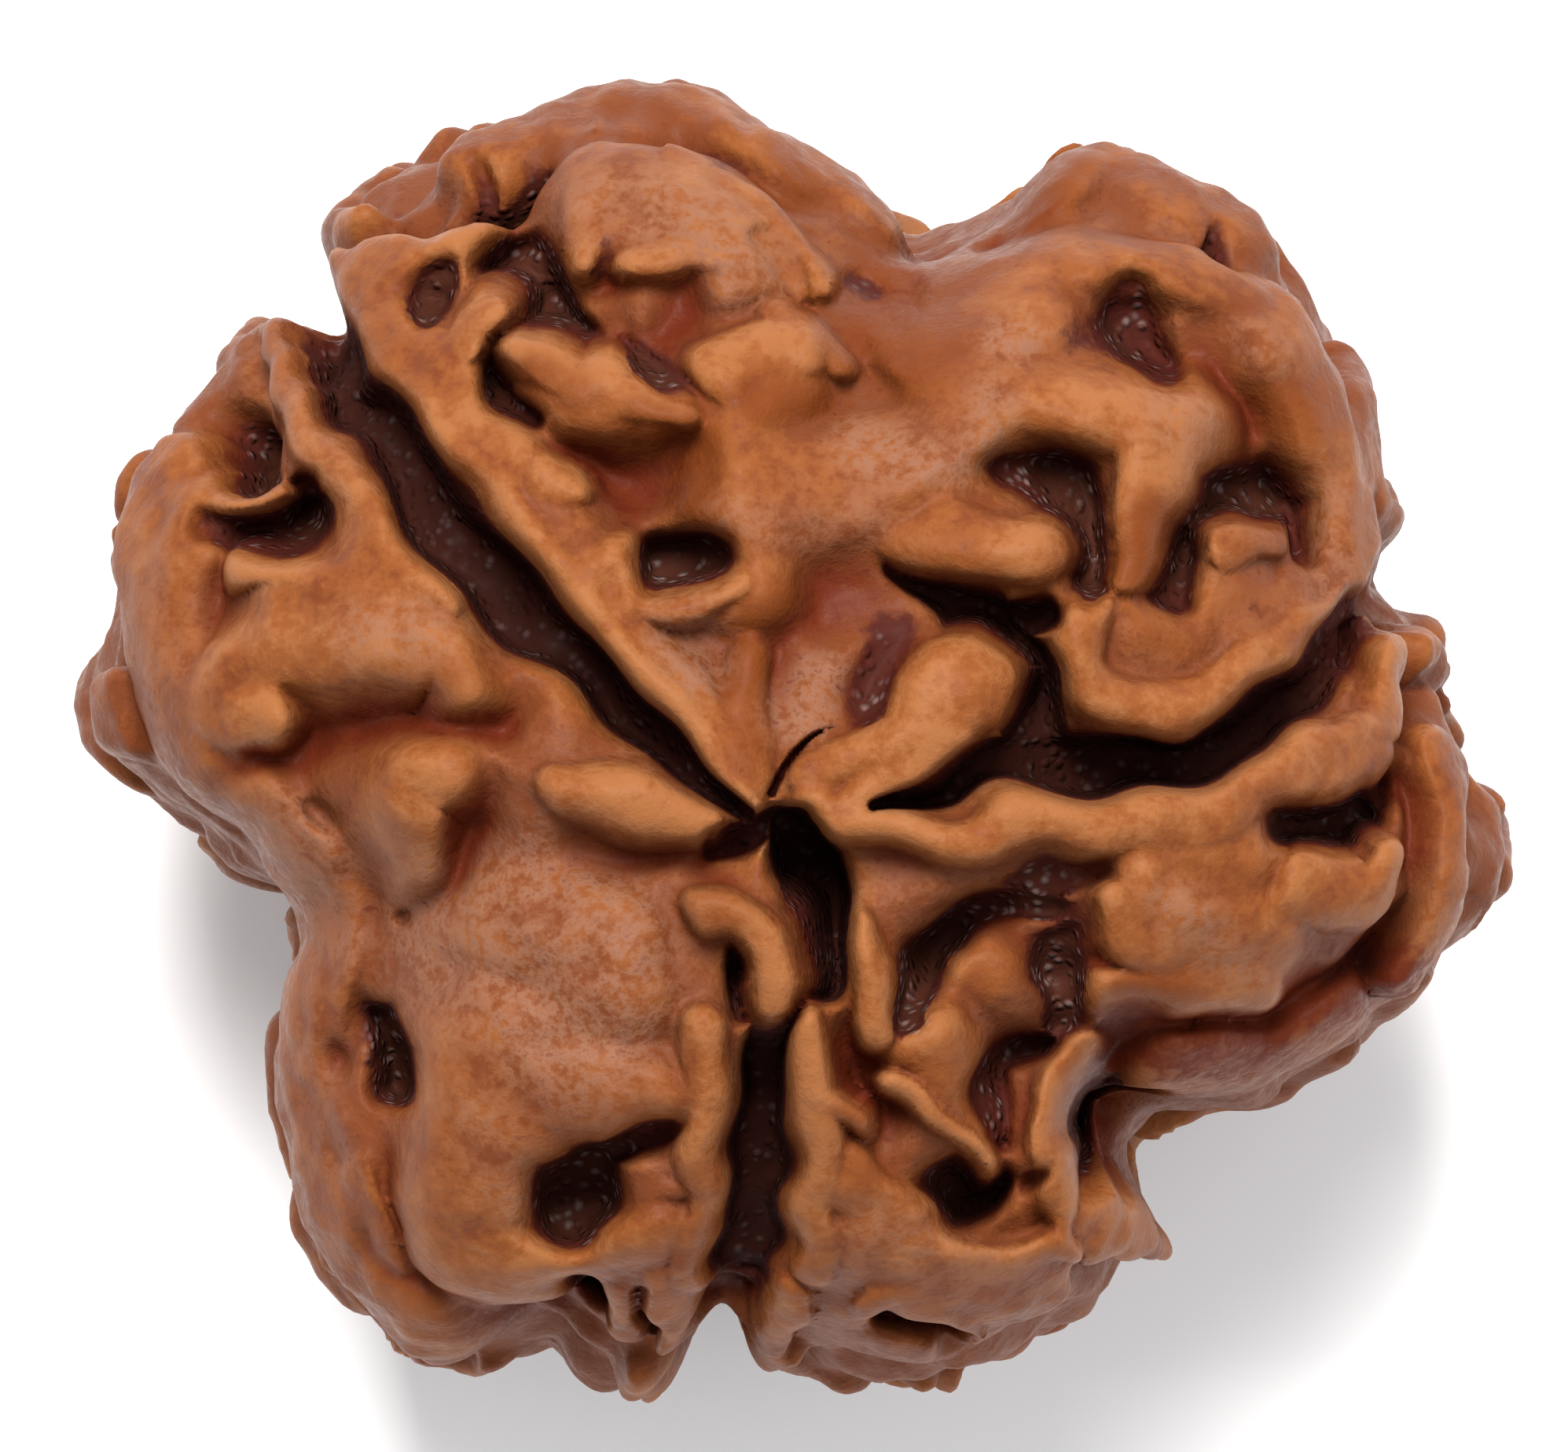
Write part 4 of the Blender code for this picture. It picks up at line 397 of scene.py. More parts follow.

# Patches of colour, drawn as strokes too: (half width, strength, points).
# A pale, pinkish bloom of dust; the patch on the ridge of the left lobe is a painted highlight.
BLOOMS_AND_HIGHLIGHTS = [
    (0.5, 0.8, [(1.2, 5.5), (1.9, 5.4), (2.8, 5.3)]),
    (0.5, 0.5, [(-0.6, 4.6), (0.4, 4.3), (1.4, 4.4)]),
    (0.5, 0.8, [(-1.3, 2.9), (-1.2, 2.3)]),
    (0.4, 1.0, [(0.3, 1.6), (0.8, 2.2)]),
    (0.4, 0.8, [(3.4, 7.3), (3.7, 7.2)]),
    (0.5, 0.7, [(3.2, 6.2), (3.2, 5.8)]),
    (0.8, 0.7, [(-2.4, 9.3), (-1.3, 9.2), (-0.6, 8.3)]),
    (0.4, 0.5, [(0.8, 9.2), (1.2, 9.1)]),
    (0.4, 0.5, [(2.6, 8.9), (2.9, 8.7)]),
    (1.5, 0.9, [(-4.6, -1.6), (-3.2, -1.6), (-3.0, -2.8)]),
    (0.9, 0.8, [(-7.2, -0.4), (-6.8, -1.6)]),
    (0.5, 0.8, [(-7.9, 7.1), (-8.1, 6.6), (-7.6, 6.2)]),
    (0.6, 0.6, [(-9.5, 3.6), (-9.7, 2.4)]),
    (0.7, 0.5, [(-4.4, -4.6), (-3.8, -5.6)]),
    (0.8, 0.5, [(1.5, -6.3), (3.0, -6.9)]),
    (0.5, 0.6, [(6.0, -1.3), (7.3, -2.4)]),
    (0.5, 0.5, [(5.8, 6.1), (6.3, 5.9)]),
    (0.8, 0.6, [(-6.9, -3.5), (-7.0, -5.0)]),
    (0.9, 0.7, [(8.6, 3.6), (8.4, 4.6)]),
    (0.5, 0.6, [(7.3, 7.2), (7.6, 7.0)]),
    # painted highlight on the ridge of the left lobe
    (0.6, 0.6, [(-6.2, 2.9), (-5.3, 2.8)]),
    (0.9, 0.5, [(6.2, -3.5), (8.0, -3.4), (10.3, -0.8)]),
]
# Browner patches along the hollows and under-shadows between ridges: painted shade.
SHADE_PATCHES = [
    (0.8, 0.8, [(1.5, 7.6), (2.5, 7.1), (1.3, 6.7)]),
    (0.4, 1.0, [(-0.3, 6.3), (0.8, 6.2)]),
    (0.4, 0.8, [(1.8, 8.2), (3.1, 8.3)]),
    (0.5, 0.9, [(3.8, 9.1), (4.3, 9.8)]),
    (0.5, 0.7, [(0.2, 9.9), (0.5, 9.4)]),
    (0.6, 1.0, [(-0.5, 2.2), (0.2, 3.1), (1.3, 3.3)]),
    (0.3, 0.7, [(-0.3, 1.5), (-0.5, 0.9)]),
    (0.5, 0.8, [(-3.5, 6.6), (-2.6, 6.1)]),
    (0.5, 0.9, [(-2.0, 6.0), (-1.3, 5.6), (-1.1, 4.8)]),
    (0.6, 0.5, [(-5.9, 7.1), (-5.3, 6.9)]),
    (0.6, 0.7, [(8.3, 6.2), (7.5, 6.3)]),
    (0.5, 0.9, [(5.7, 4.5), (5.4, 3.8)]),
    (0.4, 0.6, [(2.4, 4.0), (3.2, 3.7)]),
    (0.4, 0.6, [(7.1, 4.2), (7.0, 3.7)]),
    (0.7, 0.5, [(5.8, 2.7), (7.6, 3.4)]),
    (0.5, 0.5, [(6.8, -0.8), (6.7, -1.8)]),
    (0.4, 0.8, [(5.3, -2.5), (6.1, -2.5)]),
    (0.5, 0.6, [(2.6, -3.6), (2.8, -4.2)]),
    (0.5, 0.7, [(1.2, -4.5), (1.4, -5.3)]),
    (0.6, 0.6, [(-5.4, 2.0), (-4.5, 2.2)]),
    (0.5, 0.6, [(-1.4, -1.4), (-0.6, -1.3)]),
    (0.6, 0.6, [(-2.0, -4.2), (-3.4, -4.4)]),
]
# Dark, grainy grime in shallow hollows, darkened further as painted shade.
GRIME_AND_SHADE_PATCHES = [
    (0.42, 1.0, [(1.7, 2.7), (1.4, 1.75)]),
    (0.30, 0.9, [(-4.95, 8.15), (-5.2, 7.6)]),
    (0.25, 0.8, [(1.9, 2.9), (2.2, 3.1)]),
    (0.28, 0.9, [(-5.8, 8.9), (-5.2, 9.1), (-4.7, 9.2)]),
    (0.36, 0.9, [(-4.6, 9.45), (-4.1, 9.5), (-3.6, 9.9)]),
    (0.30, 0.7, [(-2.5, 8.7), (-2.6, 8.2)]),
    (0.30, 0.9, [(-1.9, 6.9), (-1.5, 6.6)]),
    (0.35, 0.7, [(4.5, 7.3), (5.0, 7.2)]),
    (0.20, 0.6, [(1.2, 8.2), (1.45, 8.05)]),
    (0.18, 0.5, [(3.5, 6.85), (3.75, 6.8)]),
    (0.20, 0.7, [(6.75, 8.9), (6.95, 8.6)]),
    (0.15, 0.7, [(7.15, 3.2), (7.35, 3.1)]),
    (0.30, 0.7, [(-1.4, 10.3), (-0.7, 9.9)]),
    (0.35, 0.6, [(-7.0, 7.4), (-6.7, 6.9)]),
    (0.30, 0.6, [(-6.1, -2.7), (-6.2, -3.4)]),
    (0.40, 0.9, [(4.0, -0.9), (4.2, -1.5), (4.3, -2.9)]),
    (0.40, 0.7, [(2.1, -3.2), (2.0, -2.4)]),
    (0.50, 0.6, [(5.0, -3.3), (5.7, -3.2)]),
    (0.60, 0.6, [(8.4, -2.3), (9.2, -2.2)]),
    (0.50, 0.7, [(5.3, -4.6), (5.5, -4.9)]),
    (0.35, 0.5, [(-8.4, 4.6), (-8.3, 4.2)]),
]
PATCH_SHARPNESS = 3
PATCH_FILLET = 0.3

READINGS = np.arange(3600) / 10   # the angles, in degrees, at which the outline is read


def waves(points, length, seed, count=16):
    """Smooth random undulation of about unit size, made of plane waves of one rough length."""
    draw = np.random.default_rng(seed)
    ways = draw.normal(size=(count, 3))
    ways /= np.linalg.norm(ways, axis=1, keepdims=True)
    ways *= 2 * math.pi / length * draw.uniform(0.7, 1.3, size=(count, 1))
    phases = draw.uniform(0, 2 * math.pi, count)
    return np.sin(points @ ways.T + phases).sum(axis=1) / math.sqrt(count / 2)


def outline_radius(spread):
    """The outline as a radius at each reading round it, blurred over spread degrees."""
    corners = np.array(OUTLINE)
    angles = np.degrees(np.arctan2(corners[:, 1], corners[:, 0])) % 360
    order = np.argsort(angles)
    radii = np.interp(READINGS, angles[order], np.hypot(*corners.T)[order], period=360)
    offsets = np.minimum(READINGS, 360 - READINGS)
    kernel = np.exp(-0.5 * (offsets / spread) ** 2)
    spectrum = np.fft.rfft(radii) * np.fft.rfft(kernel / kernel.sum())
    return np.fft.irfft(spectrum, len(READINGS))


SMOOTH_RADIUS = outline_radius(spread=5.0)
DETAIL_RADIUS = outline_radius(spread=1.0)


def radius_at(turns, table):
    """Read a radius table at angles in degrees."""
    return np.interp(turns % 360, READINGS, table, period=360)


def on_envelope(plan, side=1):
    """Lift plan points onto the upper (side 1) or lower (side -1) half of the envelope."""
    plan = np.asarray(plan, dtype=float)
    reach = radius_at(np.degrees(np.arctan2(plan[:, 1], plan[:, 0])), SMOOTH_RADIUS)
    far = np.maximum(np.hypot(plan[:, 0], plan[:, 1]), TINY)
    share = np.minimum(far / reach, BRIM)
    height = HALF_HEIGHT * (1 - share ** SQUARENESS) ** (1 / SQUARENESS)
    return np.column_stack([plan * (share * reach / far)[:, None], side * height])


def turned_under(plan):
    """Carry plan points to the lower pole, with each lobe's growth moved on by one lobe."""
    plan = np.asarray(plan, dtype=float)
    turns = np.degrees(np.arctan2(plan[:, 1], plan[:, 0]))
    share = np.hypot(plan[:, 0], plan[:, 1]) / radius_at(turns, SMOOTH_RADIUS)
    above = [CLEFT_A, CLEFT_C, CLEFT_B, CLEFT_A + 360]
    below = [CLEFT_C, CLEFT_B, CLEFT_A + 360, CLEFT_C + 360]
    moved = np.interp((turns - CLEFT_A) % 360 + CLEFT_A, above, below)
    reach = share * radius_at(moved, SMOOTH_RADIUS)
    return np.column_stack([reach * np.cos(np.radians(moved)), reach * np.sin(np.radians(moved))])


def smooth_line(points, steps=4):
    """A rounded line through points."""
    points = np.asarray(points, dtype=float)
    if len(points) < 3:
        return points
    padded = np.vstack([2 * points[0] - points[1], points, 2 * points[-1] - points[-2]])
    line = []
    for before, start, end, after in zip(padded, padded[1:], padded[2:], padded[3:]):
        for part in np.arange(steps) / steps:
            line.append(0.5 * (2 * start + (end - before) * part
                               + (2 * before - 5 * start + 4 * end - after) * part ** 2
                               + (3 * start - before - 3 * end + after) * part ** 3))
    line.append(points[-1])
    return np.array(line)


def squashed(points):
    """Points as the plan's strokes see them: each half drawn together in height, the halves held apart."""
    points = np.asarray(points)
    height = PLAN_SQUASH * points[:, 2] + HALVES_APART * np.tanh(points[:, 2] / HALVES_BLEND)
    return np.column_stack([points[:, :2], height])


def hand_strokes(strokes):
    """The strokes of the plan, on the upper half and carried to the lower half."""
    made = []
    for widths, heights, plan in strokes:
        line = smooth_line(plan)
        for lifted in (on_envelope(line), on_envelope(turned_under(line), side=-1)):
            made.append((np.atleast_1d(widths), np.atleast_1d(heights), squashed(lifted)))
    return made


def flank_point(turn, height):
    """A point of the envelope at an angle in degrees and a height."""
    share = (1 - (abs(height) / HALF_HEIGHT) ** SQUARENESS) ** (1 / SQUARENESS)
    reach = float(radius_at(np.array([turn]), SMOOTH_RADIUS)[0]) * share
    return [reach * math.cos(math.radians(turn)), reach * math.sin(math.radians(turn)), height]


def cleft_distance(turn):
    """How far an angle is from the nearest cleft, in degrees."""
    return min(abs((turn - cleft + 180) % 360 - 180) for cleft in (CLEFT_A, CLEFT_B, CLEFT_C))


def flank_strokes(count, widths, heights, steps, seed, drop=0):
    """Short wandering strokes on the flanks, mostly running from pole to pole."""
    draw = np.random.default_rng(seed)
    made = []
    starts = []
    for _ in range(FLANK_TRIES * count):
        turn = draw.uniform(0, 360)
        height = draw.uniform(FLANK_BOTTOM, FLANK_TOP - drop)
        start = np.array(flank_point(turn, height))
        shares = draw.uniform(size=3)
        heading = draw.normal(0, FLANK_HEADING)
        turning = draw.normal(0, FLANK_TURNING, FLANK_TURNS)
        crowded = any(np.linalg.norm(start - other) < FLANK_SPACING for other in starts)
        if crowded or cleft_distance(turn) < CLEFT_CLEARANCE or len(made) == count:
            continue
        starts.append(start)
        line = [start]
        for step in range(steps[0] + int(shares[0] * (steps[1] - steps[0] + 1))):
            heading += turning[step]
            turn += math.degrees(FLANK_STEP * math.sin(heading) / CROWN)
            height -= FLANK_STEP * math.cos(heading)
            if cleft_distance(turn) < CLEFT_APPROACH:
                break
            line.append(np.array(flank_point(turn, height)))
        if len(line) < 2:
            continue
        width = widths[0] + shares[1] * (widths[1] - widths[0])
        level = heights[0] + shares[2] * (heights[1] - heights[0])
        made.append((np.array([width, FLANK_TAPER * width]), np.array([level]), smooth_line(line)))
    return made


def cleft_walls():
    """The clefts and their rims where they run down the flanks."""
    clefts = []
    rims = []
    heights = np.linspace(CLEFT_REACH, -CLEFT_REACH, CLEFT_STEPS)
    for turn, phase in CLEFT_PHASES:
        sway = (CLEFT_SWAY * np.sin(heights * CLEFT_SWAY_SPEED + phase)
                * np.cos(heights / CLEFT_REACH * math.pi / 2))
        for strokes, width, height, side in ((clefts, CLEFT_WIDTH, CLEFT_DEPTH, 0),
                                             (rims, CLEFT_RIM_WIDTH, CLEFT_RIM_LEVEL, -CLEFT_RIM_OFFSET),
                                             (rims, CLEFT_RIM_WIDTH, CLEFT_RIM_LEVEL, CLEFT_RIM_OFFSET)):
            line = smooth_line([flank_point(turn + sideways + side, up)
                                for sideways, up in zip(sway, heights)])
            strokes.append((np.array([width]), np.array([height]), line))
    return clefts, rims


def spread_along(values, place):
    """Values spread evenly along a stroke, read at places from 0 to 1."""
    return np.interp(place, np.linspace(0, 1, len(values)), values) if len(values) > 1 else values[0]


def nearest(points, stroke, reach):
    """The points near a stroke: their numbers, distances from it, and its width and height there."""
    widths, heights, line = stroke
    centre = line.mean(axis=0)
    radius = np.linalg.norm(line - centre, axis=1).max() + reach
    near = np.flatnonzero(((points - centre) ** 2).sum(axis=1) < radius ** 2)
    spot = points[near]
    along = np.concatenate([[0], np.cumsum(np.linalg.norm(np.diff(line, axis=0), axis=1))])
    along /= along[-1]
    best = np.full(len(near), np.inf)
    place = np.zeros(len(near))
    for number, (start, end) in enumerate(zip(line, line[1:])):
        step = end - start
        part = np.clip((spot - start) @ step / (step @ step), 0, 1)
        far = ((spot - start - part[:, None] * step) ** 2).sum(axis=1)
        closer = far < best
        best[closer] = far[closer]
        place[closer] = along[number] + part[closer] * (along[number + 1] - along[number])
    return near, np.sqrt(best), spread_along(widths, place), spread_along(heights, place)


def softly_higher(first, second, blend):
    """The higher of two heights, with a fillet where they meet."""
    share = np.clip(0.5 + 0.5 * (second - first) / blend, 0, 1)
    return first + (second - first) * share + blend * share * (1 - share)


def cut_depth(points, strokes, sharpness, blend):
    """How deep the strokes cut at each point; neighbours run together softly."""
    depth = np.zeros(len(points))
    for stroke in strokes:
        near, far, width, height = nearest(points, stroke, CUT_REACH * stroke[0].max())
        cut = height / (1 + (far / width) ** sharpness)
        depth[near] = softly_higher(depth[near], cut, blend * np.minimum(1, cut + 0.01))
    return depth


def raise_ridges(points, level, strokes, blend, wall):
    """Raise round-backed ridges out of a surface, with walls of a slope and a fillet at the foot."""
    for stroke in strokes:
        near, far, width, height = nearest(points, stroke, stroke[0].max() + FOOT_REACH / wall)
        share = np.minimum(far / width, SHOULDER)
        back = height - width * (1 - np.sqrt(1 - share ** 2))
        back -= wall * np.maximum(0, far - SHOULDER * width)
        level[near] = softly_higher(level[near], back, blend)
    return level


def growth(points):
    """The relief's level at points of the envelope, and how much of each mark the points have."""
    warped = points + WANDER * np.column_stack([waves(points, WANDER_LENGTH, seed) for seed in (20, 21, 22)])
    drawn = squashed(warped)
    clefts, rims = cleft_walls()
    level = GROUND_LEVEL + SWELL * waves(points, SWELL_LENGTH, seed=1)
    level += RIPPLE * waves(points, RIPPLE_LENGTH, seed=2)
    hollow = cut_depth(drawn, hand_strokes(HOLLOWS), HOLLOW_SHARPNESS, HOLLOW_FILLET)
    level -= hollow
    ground = level.copy()
    ridges = hand_strokes(RIDGES)
    broad = [ridge for ridge in ridges if ridge[0].max() >= BROAD_RIDGE]
    narrow = [ridge for ridge in ridges if ridge[0].max() < BROAD_RIDGE]
    flank = flank_strokes(FLANK_RIDGES, FLANK_RIDGE_WIDTHS, FLANK_RIDGE_LEVELS, FLANK_RIDGE_STEPS,
                          FLANK_SEED)
    level = raise_ridges(drawn, level, broad, BROAD_FILLET, SOFT_WALL)
    level = raise_ridges(warped, level, rims + flank, FLANK_FILLET, SOFT_WALL)
    level = raise_ridges(drawn, level, narrow, RIDGE_FILLET, RIDGE_WALL)
    risen = level.copy()
    pits = flank_strokes(FLANK_PITS, FLANK_PIT_WIDTHS, FLANK_PIT_DEPTHS, FLANK_PIT_STEPS, FLANK_SEED + 1,
                         FLANK_PIT_DROP)
    sunk = cut_depth(warped, pits + clefts, PIT_SHARPNESS, PIT_FILLET)
    holes = cut_depth(drawn, hand_strokes(PITS), PIT_SHARPNESS, PIT_FILLET)
    cleft = cut_depth(drawn, hand_strokes(CLEFTS), CLEFT_SHARPNESS, PIT_FILLET)
    level -= np.maximum(sunk, np.maximum(holes, cleft))
    level = raise_ridges(drawn, level, hand_strokes(FINS), FIN_FILLET, FIN_WALL)
    pit = np.maximum(0, risen - level)
    ridge = np.maximum(risen, level) - ground
    patches = [cut_depth(drawn, hand_strokes(strokes), PATCH_SHARPNESS, PATCH_FILLET)
               for strokes in (BLOOMS_AND_HIGHLIGHTS, SHADE_PATCHES, GRIME_AND_SHADE_PATCHES)]
    marks = np.column_stack([hollow, pit, ridge, cleft, *patches])
    return level + SKIN * waves(points, SKIN_LENGTH, seed=3), marks


def grown_surface(directions):
    """The bead's surface along unit directions, in millimetres from its middle, and its marks there."""
    turns = np.degrees(np.arctan2(directions[:, 1], directions[:, 0]))
    smooth = radius_at(turns, SMOOTH_RADIUS)
    across = np.hypot(directions[:, 0], directions[:, 1])
    upright = np.abs(directions[:, 2])
    length = ((across / smooth) ** SQUARENESS + (upright / HALF_HEIGHT) ** SQUARENESS) ** (-1 / SQUARENESS)
    envelope = directions * length[:, None]
    # The growth stands upright on the crown and leans out only towards the bead's widest part.
    lean = math.pi / 2 * (across * length / smooth) ** LEAN_POWER
    outward = directions[:, :2] / np.maximum(across, TINY)[:, None]
    ways = np.column_stack([outward * np.sin(lean)[:, None], np.sign(directions[:, 2]) * np.cos(lean)])
    edge = np.exp(-(envelope[:, 2] / EDGE_BAND) ** 2) * (radius_at(turns, DETAIL_RADIUS) - smooth)
    level, marks = growth(envelope)
    places = envelope + ways * level[:, None]
    places[:, :2] += outward * edge[:, None]
    return places, marks


def corners_of(mesh):
    """A mesh's corners as an array."""
    corners = np.empty(3 * len(mesh.vertices))
    mesh.vertices.foreach_get("co", corners)
    return corners.reshape(-1, 3)


def edge_ends(mesh):
    """The numbers of the two corners of each of a mesh's edges."""
    ends = np.empty(2 * len(mesh.edges), dtype=int)
    mesh.edges.foreach_get("vertices", ends)
    return ends.reshape(-1, 2)


FOOT = 9.62                  # from the middle of the bead down to the flat spot
BALL_SUBDIVISIONS = 7        # of the even ball that the bead starts as
STRETCH_PASSES = 2           # how many times long edges are divided
FINEST_EDGE = 0.150          # the longest edge left as it is on the upper half
COARSEST_EDGE = 0.200        # and on the lower half
BEAD_TRIANGLES = 190000      # kept after thinning, most where the relief is finest
EDGE_PASSES = 8              # times that corners are averaged with their neighbours to find small edges
SPREAD_PASSES = 90           # and to find what stands out or is sunk
HALO_PASSES = 24             # how far the painted shade of the pits creeps up over their rims
MARKS = ["hollow", "pit", "ridge", "cleft", "bloom_and_highlight", "shade_patch", "grime_shade_patch", "edge", "stand", "halo"]
bpy.ops.object.select_all(action="DESELECT")
bpy.ops.mesh.primitive_ico_sphere_add(subdivisions=BALL_SUBDIVISIONS, radius=1)
bead = bpy.context.object
bead.name = "bead"
places, marks = grown_surface(corners_of(bead.data))
for _ in range(STRETCH_PASSES):
    # Divide what the relief will stretch, while the mesh is still a plain ball.
    ends = edge_ends(bead.data)
    lengths = np.linalg.norm(places[ends[:, 0]] - places[ends[:, 1]], axis=1)
    limit = np.where(places[ends].mean(axis=1)[:, 2] > 0, FINEST_EDGE, COARSEST_EDGE)
    bpy.ops.object.mode_set(mode="EDIT")
    bpy.ops.mesh.select_mode(type="EDGE")
    bpy.ops.mesh.select_all(action="DESELECT")
    bpy.ops.object.mode_set(mode="OBJECT")
    bead.data.edges.foreach_set("select", lengths > limit)
    bpy.ops.object.mode_set(mode="EDIT")
    bpy.ops.mesh.subdivide(number_cuts=1)
    bpy.ops.mesh.select_all(action="SELECT")
    bpy.ops.mesh.quads_convert_to_tris(quad_method="SHORTEST_DIAGONAL")
    bpy.ops.object.mode_set(mode="OBJECT")
    fresh = corners_of(bead.data)[len(places):]
    fresh /= np.linalg.norm(fresh, axis=1, keepdims=True)
    grown, grown_marks = grown_surface(fresh)
    places = np.vstack([places, grown])
    marks = np.vstack([marks, grown_marks])
# How far each corner stands out of, or lies below, the surface around it.
ends = edge_ends(bead.data)
neighbours = np.bincount(ends.ravel(), minlength=len(places))
spread = np.column_stack([places, marks[:, MARKS.index("pit")]])
reliefs = []
for passes in range(SPREAD_PASSES):
    sums = [np.bincount(ends[:, 0], spread[ends[:, 1], column], len(places))
            + np.bincount(ends[:, 1], spread[ends[:, 0], column], len(places)) for column in range(4)]
    spread = 0.5 * spread + 0.5 * np.column_stack(sums) / neighbours[:, None]
    if passes + 1 in (EDGE_PASSES, SPREAD_PASSES):
        outward = spread[:, :3] / np.linalg.norm(spread[:, :3], axis=1, keepdims=True)
        reliefs.append(((places - spread[:, :3]) * outward).sum(axis=1))
    if passes + 1 == HALO_PASSES:
        halo = spread[:, 3].copy()
marks = np.column_stack([marks, *reliefs, halo])
places[:, 2] = np.maximum(places[:, 2], -FOOT)
middle = (places.min(axis=0) + places.max(axis=0)) / 2
places = (places + [-middle[0], -middle[1], FOOT]) * MM
bead.data.vertices.foreach_set("co", places.ravel())
for name, values in zip(MARKS, marks.T):
    bead.data.attributes.new(name, "FLOAT", "POINT").data.foreach_set("value", values)
bead.data.update()
thinning = bead.modifiers.new("thinning", "DECIMATE")
thinning.ratio = BEAD_TRIANGLES / len(bead.data.polygons)
bpy.ops.object.modifier_apply(modifier="thinning")
bead.data.shade_smooth()
print("bead triangles", len(bead.data.polygons))


# The colours of the wood.
WORN_AND_HIGHLIGHT = (0.235, 0.100, 0.043)     # the highest crests and small edges, rubbed pale and painted with highlight
CREST = (0.198, 0.072, 0.024)    # ridge backs
CARAMEL = (0.155, 0.046, 0.012)  # raised wood
BROWN = (0.108, 0.028, 0.009)    # low wood
SHADE_BETWEEN_RIDGES = (0.105, 0.024, 0.005)    # painted shade along the hollows between ridges
DUST_AND_HIGHLIGHT = (0.165, 0.074, 0.044)     # pinkish bloom of dust, and one painted highlight
RUST = (0.075, 0.011, 0.004)     # red-brown specks, and walls and rims of pits, partly painted shade
UMBER = (0.045, 0.009, 0.006)    # painted shade in deep hollows and on upper walls of pits
GRIME_AND_SHADE = (0.042, 0.012, 0.007)    # floors of pits, partly painted shade
PITCH = (0.024, 0.006, 0.004)    # floors of clefts, partly painted shade
PULP_AND_GLINT = (0.300, 0.220, 0.210)      # grains of dried pulp, partly painted glints
GRAIN_SCALE = 4.6                # grains to a millimetre
POLISHED, HANDLED = 0.34, 0.50   # roughness, between which the fine mottle moves
BUMP_STRENGTH = 0.7
BUMP_HEIGHT = 0.12
SHEEN = 0.03                     # how little light the wood mirrors
OIL = 0.02                       # weight of the film of oil, and its roughness
OIL_ROUGHNESS = 0.38


